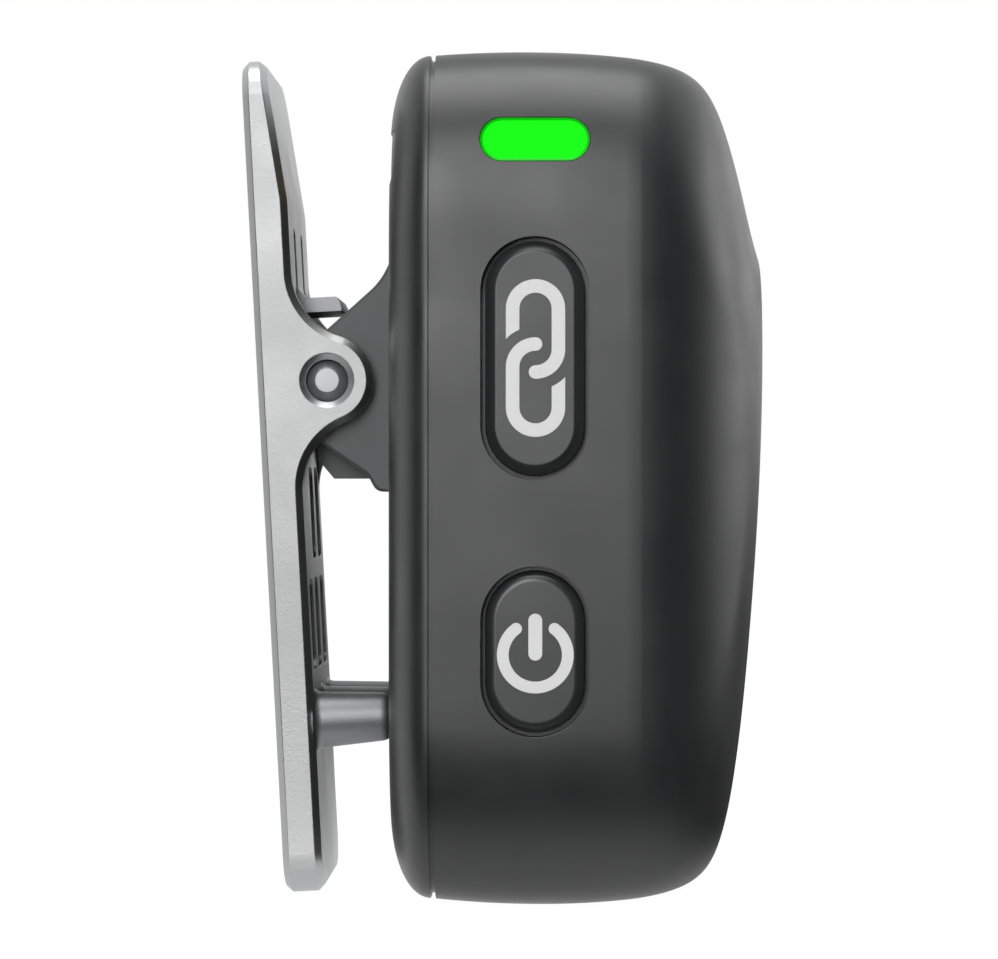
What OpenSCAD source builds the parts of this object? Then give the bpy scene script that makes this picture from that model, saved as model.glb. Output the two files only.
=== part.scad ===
// Clip-on wireless lavalier microphone with a sprung die-cast clip.
// X runs from the clip lever (-X) to the front of the housing (+X), Y across the
// width with the button side at -Y, Z up.  The origin is the middle of the footprint
// of the whole object, in the plane of the lowest point of the housing.

/* [Housing] */
// Height of the housing
body_h = 43.8; // [43:0.1:49]
// Width of the housing
body_w = 30; // [29:0.5:34]
// Thickness of the housing from back face to front face
body_t = 19.45; // [19:0.05:22]
// Depth of the back cover, from the back face to the parting line
cover_t = 2.15; // [2:0.05:2.6]
// Wall of the moulded shells
wall = 1.4; // [1.2:0.05:1.6]
// Corner radius of the housing seen from the front
corner_r = 5.2; // [4:0.1:6]
// How far the back edge rounds in over the back face
back_round = 4.6; // [3:0.1:5]
// Depth of the rounding between side and front
side_round_x = 6.65; // [5:0.05:7.5]
// Width of the rounding between side and front
side_round_y = 10; // [7:0.1:11]
// Radius of the crowned top
crown_r = 64; // [45:1:90]
// Radius of the crowned bottom
keel_r = 57; // [50:1:90]
// Slant of the upper front facet from vertical, in degrees
facet_tilt = 14.8; // [9:0.1:17]
// Height at which the facet meets the front face, below the top
facet_drop = 10.1; // [9.6:0.1:13]
// Radius of the front face below its middle
front_r = 157; // [140:1:240]
// Width of the shadow gap at the parting line
gap_w = 0.27; // [0.15:0.01:0.4]
// Depth of the shadow gap
gap_d = 0.28; // [0.15:0.01:0.4]

/* [Buttons and light] */
// Distance of the button row from the back face
row_u = 7.54; // [7.2:0.02:8]
// Width of a button opening
key_w = 5.47; // [5:0.01:5.8]
// Length of the link button opening
link_len = 12.25; // [11:0.05:13]
// Height of the middle of the link button, as a share of the housing's height
link_at = 0.637; // [0.63:0.0001:0.645]
// Length of the power button opening
power_len = 8.6; // [7.6:0.05:9.4]
// Height of the middle of the power button, as a share of the housing's height
power_at = 0.3009; // [0.295:0.0001:0.315]
// Gap round each button
key_gap = 0.24; // [0.15:0.01:0.3]
// Bevel round the top of each button
key_bevel = 0.48; // [0.3:0.01:0.6]
// Travel of the buttons
key_travel = 0.3; // [0.2:0.05:0.35]
// Length of the light window
lamp_len = 5.6; // [5:0.05:6]
// Height of the light window
lamp_h = 2.31; // [2:0.01:2.6]
// Drop of the middle of the light window below the top
lamp_drop = 4.86; // [4.7:0.02:5.2]

/* [Clip] */
// Distance of the pin from the back face
pin_stand = 3.42; // [3.3:0.02:3.8]
// Drop of the pin below the top
pin_drop = 16.79; // [16.5:0.01:17.3]
// Diameter of the pin
pin_d = 2.15; // [2:0.01:2.2]
// Radial clearance of the pin in the lever and in the bracket
pin_play = 0.03; // [0.02:0.005:0.06]
// Width of the lever
lever_w = 14; // [13.4:0.1:15]
// Thickness of the lever plate
lever_t = 2.08; // [1.8:0.02:2.3]
// Distance from the pin axis to the inner face of the lever
lever_in = 1.59; // [1.5:0.01:1.75]
// Lean of the lever in degrees
lever_tilt = 3.04; // [2:0.02:3.6]
// Length of the lever above the pin
lever_up = 17.1; // [16.4:0.1:17.6]
// Height of the lever's foot above the lowest point of the housing
lever_foot = 0.05; // [0:0.05:1.5]
// Radius of the lever's ear round the pin
ear_r = 2.42; // [2.3:0.01:2.6]
// Thickness of one lever ear
ear_t = 1.25; // [1:0.05:1.3]
// Bevel along the edges of the lever
lever_bevel = 0.35; // [0.2:0.01:0.45]
// Depth of the pockets in the lever
pocket_d = 0.9; // [0.5:0.05:1]
// Drop of the row of teeth below the pin
teeth_drop = 17.8; // [17.4:0.1:18.4]
// Distance from tooth to tooth
teeth_pitch = 5.3; // [5:0.05:5.35]
// Root radius of a tooth
tooth_r = 1.56; // [1.4:0.02:1.6]
// Thickness of one bracket ear
cheek_t = 2; // [1.8:0.05:2.2]
// Play between the lever ears and the bracket, on each side
ear_play = 0.15; // [0.1:0.01:0.25]
// Wire of the torsion spring
wire_d = 0.5; // [0.4:0.02:0.54]

/* [Sockets and inner parts] */
// Bore of the jack socket
jack_d = 3.6; // [3.56:0.01:3.7]
// Depth of the jack bore
jack_depth = 14; // [13:0.1:15]
// Thickness of the circuit boards
board_t = 0.8; // [0.6:0.05:1]
// Distance of the main board's rear face from the back face
board_u = 7.6; // [7.5:0.02:7.8]
// Thickness of the battery
cell_t = 4.8; // [4:0.1:5]

/* [Hidden] */
$fn = 40;
e = 0.02; // small overrun of a cut

// Places along X, worked out from the sizes above
lever_out = lever_in + lever_t;
clip_reach = pin_stand + lever_out * cos(lever_tilt)
    + (lever_up - lever_t / 2) * sin(lever_tilt);
back_x = (clip_reach - body_t) / 2;
pin_x = back_x - pin_stand;
side_y = -body_w / 2;
link_z = body_h * link_at;
power_z = body_h * power_at;
lamp_z = body_h - lamp_drop;
pin_z = body_h - pin_drop;

// Shell profile -----------------------------------------------------------
crown_u = 7.4;       // distance of the highest and lowest point from the back face
keel_u = 8.6;
facet_soft = 1.95;   // softness of the edge between crown and facet
keel_soft = 2.7;     // softness of the edge between front and bottom
front_mid = 17.2;    // most forward point of the lower front, below the top
back_wall = wall - 0.1;

function arc_drop(d, r) = r - sqrt(r * r - d * d);
function soft_min(a, b, s) = (a + b - sqrt((a - b) * (a - b) + 4 * s * s)) / 2;
function soft_max(a, b, s) = (a + b + sqrt((a - b) * (a - b) + 4 * s * s)) / 2;
function sweep_in(t) = 1 - sqrt(max(0, 1 - t * t));

function raw_top(u, i) = soft_min(body_h - i - arc_drop(u - crown_u, crown_r),
    body_h - facet_drop + (body_t - i - u) / tan(facet_tilt), facet_soft);
function raw_low(u, i) = soft_max(i + arc_drop(u - keel_u, keel_r),
    body_h - front_mid - sqrt(2 * front_r * max(0, body_t - i - u)), keel_soft);
top_fix = body_h - raw_top(crown_u, 0);
low_fix = -raw_low(keel_u, 0);
// Height of the top and of the bottom at distance u, for a skin set in by i
function top_at(u, i) = raw_top(u, i) + top_fix;
function low_at(u, i) = raw_low(u, i) + low_fix;
// How far the side has rounded in at distance u
function side_in(u, i) = (side_round_y - i)
    * sweep_in(max(0, u - body_t + side_round_x) / (side_round_x - i));
function half_at(u, i) = body_w / 2 - i - side_in(u, i);

// One cross-section: half width w, from z0 to z1, corner radius r, k points a corner
function section(x, w, z0, z1, r, k = 7) = let (q = min(r, w - 0.3, (z1 - z0) / 2 - 0.1))
    [for (c = [0 : 3], j = [0 : k - 1]) let (a = 90 * (c + j / (k - 1)),
        cy = (c == 0 || c == 3) ? w - q : q - w, cz = c < 2 ? z1 - q : z0 + q)
        [x, cy + q * cos(a), cz + q * sin(a)]];
function front_section(u, i) = section(back_x + u, half_at(u, i), low_at(u, i),
    top_at(u, i), corner_r - 0.6 * i + 0.55 * side_in(u, i));
function cover_in(u) = back_round * sweep_in((cover_t - u) / cover_t);
function cover_section(u, i) = let (c = cover_in(max(u, 0)))
    section(back_x + u, body_w / 2 - i - c, low_at(cover_t, 0) + i + c * 0.95,
        top_at(cover_t, 0) - i - c * 0.95, corner_r - 0.6 * i - 0.45 * c);

// Solid through a list of cross-sections that all have the same number of points
module loft(rings) {
    n = len(rings[0]);
    m = len(rings);
    polyhedron(points = [for (r = rings) each r], faces = concat(
        [[for (j = [0 : n - 1]) j]],
        [for (k = [0 : m - 2], j = [0 : n - 1]) let (a = k * n + j, b = k * n + (j + 1) % n)
            each [[a, a + n, b + n], [a, b + n, b]]],
        [[for (j = [n - 1 : -1 : 0]) (m - 1) * n + j]]));
}

// Flat shapes -------------------------------------------------------------
module round_rect(w, h, r) {
    square([w - 2 * r, h], center = true);
    square([w, h - 2 * r], center = true);
    for (sx = [-1, 1], sy = [-1, 1])
        translate([sx * (w / 2 - r), sy * (h / 2 - r)]) circle(r);
}
module slot_shape(w, h) {
    d = min(w, h);
    square([w > h ? w - d : w, w > h ? h : h - d], center = true);
    for (s = [-1, 1]) translate(s * [w - d, h - d] / 2) circle(d / 2);
}
// Carry a flat shape (X across, Y up) to the button side and extrude it from y0 to y1
module on_side(u, z, y0, y1) {
    translate([back_x + u, y1, z]) rotate([90, 0, 0]) linear_extrude(y1 - y0) children();
}
// Extrude a flat shape (its X along Y, its Y up) from distance u0 to u1
module along_x(y, z, u0, u1) {
    translate([back_x + u0, y, z]) rotate([90, 0, 90]) linear_extrude(u1 - u0) children();
}
module rod_x(y, z, u0, u1, r) {
    along_x(y, z, u0, u1) circle(r);
}
module rod_z(u, y, z0, z1, r) {
    translate([back_x + u, y, z0]) cylinder(h = z1 - z0, r = r);
}
module block(u0, u1, y0, y1, z0, z1) {
    translate([back_x + u0, y0, z0]) cube([u1 - u0, y1 - y0, z1 - z0]);
}

// Places that several pieces share ----------------------------------------
inner_y = side_y + wall;                 // inside of the button wall
flange_t = 0.5;                          // retaining flange behind each button
flange_w = 0.5;                          // overhang of that flange
bevel_drop = 0.4;                        // depth of the bevel round a button
seat_gap = 0.05;                         // play between flange and wall
switch_t = 1;                            // depth of a switch body
switch_w = 4.4;
switch_h = 3.4;
lug_h = 1.5;                             // lugs behind the light window
guide_w = 3.2;
stem_len = 0.3;                          // nub on the back of a button
plunger_r = 0.8;
plunger_len = 0.75;
nose_in = 0.2;                           // how far a plunger sits in its switch
switch_spare = 0.2;                      // depth left in the switch at full travel
stem_y = inner_y + seat_gap + flange_t + stem_len;
side_board_y = stem_y + plunger_len - nose_in + switch_t;
side_board_u0 = 3.4;
side_board_u1 = row_u + 4.1;
led_h = 0.65;
post_r = 0.8;
post_u = side_board_u0 + 1.1;
post_z = [power_z - power_len / 2 - flange_w - post_r - 0.3,
    (link_z - link_len / 2 + power_z + power_len / 2) / 2];
side_board_z = [post_z[0] - post_r - 0.4, body_h - 3];
board_front = board_u + board_t;
board_y0 = side_board_y + board_t + 0.05;
board_y1 = body_w / 2 - 3;
board_z0 = 2.6;
board_z1 = body_h - 2.8;
screw_r = 0.55;
screw_head_r = 1;
screw_head_t = 0.6;
screw_deep = 2.8;
mic_r = 3.1;
top_u = board_front + mic_r + 0.05;      // row of the socket and the microphone
mic_y = body_w * 0.18;
jack_y = -mic_y;
collar_h = 1.5;
barrel_r = jack_d / 2 + 1.1;
neck_r = jack_d / 2 + 0.65;
collar_r = neck_r + 0.65;
rim_z = top_at(top_u + collar_r, 0) - 0.05;   // mouth of the socket, just below the crown
jack_end = 0.8;                          // floor below the jack bore
socket_w = 4;                            // foot of the socket and of the boot on the board
boss_r = 1.5;
boss_low = board_z0 + 2;
boss_jack = rim_z - jack_depth - jack_end - boss_r - 0.9;
boss_at = [[board_y0 + 2.2, boss_low], [board_y0 + 2.2, boss_jack],
    [board_y1 - 1.9, boss_low], [board_y1 - 1.9, board_z1 - 9.2]];
header_l = 5;
header_z = boss_jack - boss_r - header_l - 0.6;
can_w = 12;
can_l = 11;
can_t = 1.6;
antenna_w = 2.2;
antenna_l = 8;
antenna_t = 1.2;
antenna_in = 0.2;                        // from the antenna to the edge of the board
can_gap = 1.4;                           // between the can and the antenna
can_y = board_y1 - antenna_in - antenna_w - can_gap - can_w / 2;
can_z = (board_z0 + board_z1) / 2 - 0.4;
antenna_z = board_z0 + 9.4;
grille_t = 0.45;
boot_h = 3.2;
capsule_r = 2.4;
capsule_h = 2.2;
capsule_gap = 0.28;                      // space between capsule and grille
port_w = 8.94;
port_h = 3.26;
port_len = 7.3;
port_wall = 0.3;
port_end = 0.8;                          // wall that closes the socket at its inner end
port_u = board_front + port_h / 2;
port_z = low_at(port_u, 0) + 0.25;
inlay_t = 0.6;                           // depth of the contact recess
inlay_u = 0.04;
inlay_len = body_w - 5.6;
inlay_h = 2.7;
inlay_z = body_h - 5.45;
pad_t = 0.7;
pad_in = 1;                              // the pad is this much smaller than the battery
pad_gap = 2.4;                           // from the pad to the bracket's screws
cell_u = back_wall + pad_t;
cell_y0 = side_board_y + board_t + 1.2;
cell_y1 = body_w / 2 - 4.8;
cell_y = (cell_y0 + cell_y1) / 2;
cell_z = 4.2;
cell_h = inlay_z - inlay_h / 2 - 3.5 - cell_z;
tab_h = 2.6;                             // height of the battery's own board
tab_w = 14;
tab_u = cell_u + 1.6;
contact_r = 0.85;
contact_pitch = 4;
contact_y = [for (k = [-1.5 : 1.5]) k * contact_pitch];
contact_board_t = 0.6;
contact_board_w = 3 * contact_pitch + 3.4;
contact_board_h = inlay_h + 0.7;
lead_r = 0.3;
lip_in = wall + 0.75;                    // inside of the cover's tongue
lip_len = 0.85;
cheek_out = lever_w / 2 - ear_t - ear_play;
cheek_in = cheek_out - cheek_t;
cheek_mid = (cheek_in + cheek_out) / 2;
bracket_screw_z = 3.2;                   // above and below the pin
bracket_screw_r = 0.6;
bracket_screw_in = 1.9;
bracket_head_r = 1.1;

// Housing -----------------------------------------------------------------
module front_skin(i, u0, count) {
    straight = body_t - side_round_x;
    loft(concat([front_section(u0, i), front_section((u0 + straight) / 2, i)],
        [for (k = [0 : count]) front_section(straight
            + (side_round_x - i) * sin(90 * k / count), i)]));
}
module outer_front() {
    straight = body_t - side_round_x;
    groove = cover_t + gap_w;
    loft(concat([
        section(back_x + cover_t, body_w / 2 - gap_d, low_at(cover_t, 0) + gap_d,
            top_at(cover_t, 0) - gap_d, corner_r - gap_d),
        section(back_x + groove, body_w / 2 - gap_d, low_at(groove, 0) + gap_d,
            top_at(groove, 0) - gap_d, corner_r - gap_d),
        front_section(groove, 0), front_section((groove + straight) / 2, 0)],
        [for (k = [0 : 11]) front_section(straight + side_round_x * sin(90 * k / 11), 0)]));
}
module front_shell() color("#4b4c4e") {
    difference() {
        outer_front();
        front_skin(wall, cover_t - 1, 8);
        on_side(row_u, link_z, side_y - 1, inner_y + 1) slot_shape(key_w, link_len);
        on_side(row_u, power_z, side_y - 1, inner_y + 1) slot_shape(key_w, power_len);
        on_side(row_u, lamp_z, side_y - 1, inner_y + 1) slot_shape(lamp_len, lamp_h);
        rod_z(top_u, jack_y, rim_z - collar_h - 3, body_h + 1, collar_r + 0.05);
        rod_z(top_u, mic_y, rim_z - collar_h - 3, body_h + 1, mic_r + 0.05);
        translate([back_x + port_u, 0, -1]) linear_extrude(port_len)
            slot_shape(port_h + 0.16, port_w + 0.16);
    }
    // Bosses for the main board, down from the front wall
    intersection() {
        front_skin(wall / 2, cover_t, 6);
        difference() {
            for (p = boss_at) rod_x(p[0], p[1], board_front, body_t, boss_r);
            for (p = boss_at) rod_x(p[0], p[1], board_front - e,
                board_front + screw_deep + 0.2, screw_r + 0.02);
        }
    }
    // Posts for the button board
    for (z = post_z)
        on_side(post_u, z, inner_y - wall / 2, side_board_y) circle(post_r);
}
// Straight column with the outline of the parting line set in by i
module column(u0, u1, i) {
    loft([for (u = [u0, u1]) section(back_x + u, body_w / 2 - i, low_at(cover_t, 0) + i,
        top_at(cover_t, 0) - i, corner_r - 0.6 * i)]);
}
module back_cover() color("#4b4c4e") difference() {
    union() {
        loft([for (k = [0 : 8]) cover_section(cover_t * (1 - cos(90 * k / 8)), 0)]);
        // Tongue that locates the cover inside the front shell
        column(cover_t - 0.1, cover_t + lip_len, wall + 0.05);
    }
    column(back_wall, cover_t + 2, lip_in);
    along_x(0, inlay_z, -1, inlay_t) slot_shape(inlay_len + 0.04, inlay_h + 0.04);
    for (y = contact_y) rod_x(y, inlay_z, 0, back_wall + e, contact_r + 0.02);
    for (y = [-cheek_mid, cheek_mid], s = [-1, 1])
        rod_x(y, pin_z + s * bracket_screw_z, -e, back_wall + e, bracket_screw_r + 0.02);
}
module contact_plate() color("#141416") difference() {
    along_x(0, inlay_z, inlay_u, inlay_t) slot_shape(inlay_len, inlay_h);
    for (y = contact_y) rod_x(y, inlay_z, -e, inlay_t + e, contact_r + 0.02);
}
module charge_contacts() color("#c9a24a")
    for (y = contact_y) rod_x(y, inlay_z, inlay_u + 0.03, back_wall, contact_r);
module contact_board() color("#1f5a3a")
    along_x(0, inlay_z, back_wall, back_wall + contact_board_t)
        round_rect(contact_board_w, contact_board_h, 0.5);
module contact_leads() color("#b03030")
    for (y = contact_y) rod_x(y, inlay_z, back_wall + contact_board_t, board_u, lead_r);

// Buttons and light -------------------------------------------------------
module key(z, len) {
    w = key_w - 2 * key_gap;
    h = len - 2 * key_gap;
    flange_y = inner_y + seat_gap;
    hull() {
        on_side(row_u, z, side_y, side_y + 0.01)
            slot_shape(w - 2 * key_bevel, h - 2 * key_bevel);
        on_side(row_u, z, side_y + bevel_drop - 0.05, side_y + bevel_drop) slot_shape(w, h);
    }
    on_side(row_u, z, side_y + bevel_drop, flange_y) slot_shape(w, h);
    on_side(row_u, z, flange_y, flange_y + flange_t)
        slot_shape(key_w + 2 * flange_w, len + 2 * flange_w);
    on_side(row_u, z, flange_y + flange_t, flange_y + flange_t + stem_len)
        circle(plunger_r + 0.3);
}
module plunger(z) {
    on_side(row_u, z, stem_y, stem_y + plunger_len) circle(plunger_r);
}
module switch_body(z) difference() {
    on_side(row_u, z, side_board_y - switch_t, side_board_y)
        round_rect(switch_w, switch_h, 0.5);
    on_side(row_u, z, side_board_y - switch_t - e, side_board_y - switch_t + nose_in
        + key_travel + switch_spare) circle(plunger_r + 0.06);
}
module link_button() color("#3f4042") key(link_z, link_len);
module power_button() color("#3f4042") key(power_z, power_len);
module link_plunger() color("#d8d8d4") plunger(link_z);
module power_plunger() color("#d8d8d4") plunger(power_z);
module link_switch() color("#2a2a2c") switch_body(link_z);
module power_switch() color("#2a2a2c") switch_body(power_z);
module button_board() color("#1f5a3a") difference() {
    block(side_board_u0, side_board_u1, side_board_y, side_board_y + board_t,
        side_board_z[0], side_board_z[1]);
    for (z = post_z) on_side(post_u, z, side_board_y - e, side_board_y + board_t + e)
        circle(0.3);
}
module led_window() color("#1cff1a") {
    lens_y = side_y + 0.12;
    lug_y = inner_y + 0.14;
    on_side(row_u, lamp_z, lens_y, lug_y) slot_shape(lamp_len - 0.06, lamp_h - 0.06);
    // Lugs that hold the window behind the wall
    on_side(row_u, lamp_z - 0.8, lug_y, inner_y + flange_t)
        round_rect(lamp_len + 2 * flange_w, lug_h, 0.3);
    on_side(row_u, lamp_z, inner_y + flange_t, side_board_y - led_h - 0.1)
        round_rect(guide_w, lug_h, 0.3);
}
module led_chip() color("#f4f4e8")
    on_side(row_u, lamp_z, side_board_y - led_h, side_board_y) round_rect(1.6, 0.8, 0.1);

// Main board --------------------------------------------------------------
module main_board() color("#1f5a3a") difference() {
    along_x((board_y0 + board_y1) / 2, (board_z0 + board_z1) / 2, board_u, board_front)
        round_rect(board_y1 - board_y0, board_z1 - board_z0, 1.6);
    for (p = boss_at) rod_x(p[0], p[1], board_u - e, board_front + e, screw_r + 0.05);
}
module board_screws() color("#9a9ca0") for (p = boss_at) {
    rod_x(p[0], p[1], board_u - screw_head_t, board_u, screw_head_r);
    rod_x(p[0], p[1], board_u, board_front + screw_deep, screw_r);
}
module board_header() color("#1a1a1c")
    block(board_front, side_board_u1 - 0.4, side_board_y + board_t, board_y0 + 2,
        header_z, header_z + header_l);
module shield_can() color("#b9bcc0")
    along_x(can_y, can_z, board_front, board_front + can_t) round_rect(can_w, can_l, 0.8);
module chip_antenna() color("#e9e4d8")
    block(board_front, board_front + antenna_t, board_y1 - antenna_in - antenna_w,
        board_y1 - antenna_in, antenna_z, antenna_z + antenna_l);
module usb_c_shell() color("#b9bcc0")
    translate([back_x + port_u, 0, port_z]) difference() {
        linear_extrude(port_len) slot_shape(port_h, port_w);
        translate([0, 0, -1]) linear_extrude(port_len + 1 - port_end)
            slot_shape(port_h - 2 * port_wall, port_w - 2 * port_wall);
    }
module usb_c_tongue() color("#1a1a1c")
    translate([back_x + port_u, 0, port_z + 0.9]) linear_extrude(port_len - port_end - 0.9)
        square([0.7, port_w - 2 * port_wall - 1.6], center = true);

// Socket and microphone on top --------------------------------------------
module jack_socket() color("#19191b") difference() {
    union() {
        rod_z(top_u, jack_y, rim_z - jack_depth - jack_end, rim_z - collar_h, barrel_r);
        rod_z(top_u, jack_y, rim_z - collar_h - e, rim_z, neck_r);
        block(board_front, top_u, jack_y - socket_w / 2, jack_y + socket_w / 2,
            rim_z - jack_depth - jack_end, board_z1 - 0.4);
    }
    rod_z(top_u, jack_y, rim_z - jack_depth, rim_z + 1, jack_d / 2);
}
module jack_collar() color("#2b2c2e") difference() {
    rod_z(top_u, jack_y, rim_z - collar_h, rim_z, collar_r);
    rod_z(top_u, jack_y, rim_z - collar_h - e, rim_z + e, neck_r + 0.03);
}
module mic_grille() color("#2b2c2e") difference() {
    rod_z(top_u, mic_y, rim_z - grille_t, rim_z, mic_r);
    for (ring = [0 : 2], k = [0 : max(1, 6 * ring) - 1])
        translate([0.95 * ring * cos(60 * k / max(1, ring)),
            0.95 * ring * sin(60 * k / max(1, ring)), 0])
            rod_z(top_u, mic_y, rim_z - 1, rim_z + 1, 0.27);
}
module mic_boot() color("#1d1d1f") difference() {
    union() {
        rod_z(top_u, mic_y, rim_z - grille_t - boot_h, rim_z - grille_t, mic_r);
        block(board_front, top_u, mic_y - socket_w / 2, mic_y + socket_w / 2,
            rim_z - grille_t - boot_h, board_z1 - 0.4);
    }
    rod_z(top_u, mic_y, rim_z - grille_t - capsule_gap - capsule_h - e, rim_z,
        capsule_r + 0.02);
}
module mic_capsule() color("#c4c6c8")
    rod_z(top_u, mic_y, rim_z - grille_t - capsule_gap - capsule_h,
        rim_z - grille_t - capsule_gap, capsule_r);

// Battery -----------------------------------------------------------------
module battery() color("#a9adb2")
    along_x(cell_y, cell_z + cell_h / 2, cell_u, cell_u + cell_t)
        round_rect(cell_y1 - cell_y0, cell_h, 1);
module battery_pad() color("#26262a")
    block(back_wall, cell_u, cell_y0 + pad_in, cell_y1 - pad_in, cell_z + pad_in,
        pin_z - bracket_screw_z - bracket_head_r - pad_gap);
module battery_board() color("#1f5a3a")
    block(tab_u, tab_u + board_t, cell_y - tab_w / 2, cell_y + tab_w / 2,
        cell_z + cell_h, cell_z + cell_h + tab_h);
module battery_leads() color("#b03030") for (s = [-1, 1])
    rod_x(cell_y + s, cell_z + cell_h + tab_h / 2, tab_u + board_t, board_u, lead_r);

// Clip --------------------------------------------------------------------
// Flat shape in the plane of the clip (its X along X, its Y up), pin axis at its origin
module at_pin(y0, y1) {
    translate([pin_x, y1, pin_z]) rotate([90, 0, 0]) linear_extrude(y1 - y0) children();
}
web_low = 5.14;
web_left = 0.7;
web_top = 2.35;
web_t = 0.8;                             // plate against the cover
web_high = 4.6;
bracket_low = 5.83;
bracket_slope = 41.9;
bracket_fillet = 3.7;
module cheek_shape() {
    rise = pin_stand * tan(bracket_slope) + 2.8;   // upper edge at the cover
    run = bracket_fillet * tan((90 - bracket_slope) / 2);
    circle(1.45);
    difference() {
        polygon([[pin_stand, rise + run], [pin_stand, -bracket_low],
            [pin_stand - 0.9, -bracket_low], [pin_stand - 1.35, -bracket_low + 0.88],
            [-0.43, -3.26], [-1.1, -2.6], [-1.4, -0.6], [-1.25, 0.7],
            [-0.65, 2.2], [0, 2.8], [pin_stand - run * cos(bracket_slope),
                rise - run * sin(bracket_slope)]]);
        translate([pin_stand - bracket_fillet, rise + run]) circle(bracket_fillet);
    }
}
module clip_bracket() color("#3f4042") difference() {
    union() {
        at_pin(cheek_in, cheek_out) cheek_shape();
        at_pin(-cheek_out, -cheek_in) cheek_shape();
        at_pin(-cheek_in - e, cheek_in + e)
            polygon([[pin_stand, -web_low], [0.19, -web_low], [-web_left, 1.04 - web_low],
                [-web_left, -web_top - 0.55], [-0.2, -web_top], [pin_stand - web_t, -web_top],
                [pin_stand - web_t, web_high], [pin_stand, web_high + web_t]]);
    }
    at_pin(-lever_w, lever_w) circle(pin_d / 2 + pin_play);
    for (y = [-cheek_mid, cheek_mid], s = [-1, 1])
        rod_x(y, pin_z + s * bracket_screw_z, -bracket_screw_in - 0.1, e,
            bracket_screw_r + 0.02);
}
module bracket_screws() color("#9a9ca0")
    for (y = [-cheek_mid, cheek_mid], s = [-1, 1]) {
        rod_x(y, pin_z + s * bracket_screw_z, back_wall, back_wall + screw_head_t,
            bracket_head_r);
        rod_x(y, pin_z + s * bracket_screw_z, -bracket_screw_in, back_wall, bracket_screw_r);
    }
module clip_pin() color("#c2c4c6") {
    half = lever_w / 2 - 0.25;
    tip = 0.42;
    r = pin_d / 2;
    translate([pin_x, 0, pin_z]) rotate([90, 0, 0]) {
        cylinder(h = 2 * (half - tip), r = r, center = true);
        for (s = [0, 1]) mirror([0, 0, s]) translate([0, 0, half - tip])
            cylinder(h = tip, r1 = r, r2 = r - tip - 0.03);
    }
}

// Outline of the lever seen from the side, pin axis at [0, 0]
fillet_r = 3.65;
knee_z = 9.54;
tip_in = 2.35;
tip_r = (lever_out - tip_in) / 2;
foot_cut = 0.5;
lever_down = (pin_z - lever_foot - (lever_out - foot_cut) * sin(lever_tilt))
    / cos(lever_tilt);
corner_top = 4;
corner_foot = 4;
fillet_x = fillet_r - lever_in;
fillet_z = sqrt(pow(ear_r + fillet_r, 2) - fillet_x * fillet_x);
fillet_a = atan2(fillet_z, fillet_x);
function arc(cx, cz, r, a0, a1, n) =
    [for (k = [0 : n]) let (a = a0 + (a1 - a0) * k / n) [cx + r * cos(a), cz + r * sin(a)]];
lever_side = concat([[-lever_out, -lever_down + foot_cut],
        [-lever_out + foot_cut, -lever_down], [-lever_in - 0.2, -lever_down],
        [-lever_in, -lever_down + 0.2]],
    arc(fillet_x, -fillet_z, fillet_r, 180, 180 - fillet_a, 7),
    [for (k = [1 : 11]) ear_r * [cos(fillet_a * (k / 6 - 1)), sin(fillet_a * (k / 6 - 1))]],
    arc(fillet_x, fillet_z, fillet_r, 180 + fillet_a, 180, 7),
    [[-lever_in, knee_z]],
    arc(-tip_in - tip_r, lever_up - tip_r, tip_r, 0, 180, 6));
// Three-cornered cutter for a bevel on the edge at x, on side s, facing f, from z0 to z1
module bevel_cut(x, s, f, z0, z1) {
    w = lever_w / 2;
    b = lever_bevel;
    translate([0, 0, z0]) linear_extrude(z1 - z0) polygon([[x + f, s * (w - b - 1)],
        [x - f * (b + 1), s * (w + 1)], [x + f, s * (w + 1)]]);
}
module lever_blank() difference() {
    intersection() {
        rotate([90, 0, 0]) linear_extrude(lever_w + 2, center = true) polygon(lever_side);
        // Front outline with its rounded corners
        translate([-lever_out - 1, 0, 0]) rotate([90, 0, 90])
            linear_extrude(lever_out + ear_r + 2) union() {
                translate([0, (lever_up - lever_down) / 2])
                    square([lever_w, lever_up + lever_down - 3 * corner_top], center = true);
                translate([0, lever_up - 1.5 * corner_top])
                    round_rect(lever_w, 3 * corner_top, corner_top);
                translate([0, -lever_down + 1.5 * corner_top])
                    round_rect(lever_w, 3 * corner_top, corner_foot);
            }
    }
    // Space between the ears
    translate([-lever_in - e, -lever_w / 2 + ear_t, -fillet_z - 0.3])
        cube([2 * ear_r, lever_w - 2 * ear_t, 2 * fillet_z + 0.6]);
    for (s = [-1, 1]) {
        bevel_cut(-lever_out, s, -1, -lever_down - 1, lever_up + 1);
        bevel_cut(-lever_in, s, 1, -lever_down - 1, -fillet_z);
        bevel_cut(-lever_in, s, 1, fillet_z, knee_z);
    }
}
module in_lever() {
    translate([pin_x, 0, pin_z]) rotate([0, -lever_tilt, 0]) children();
}
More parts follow.
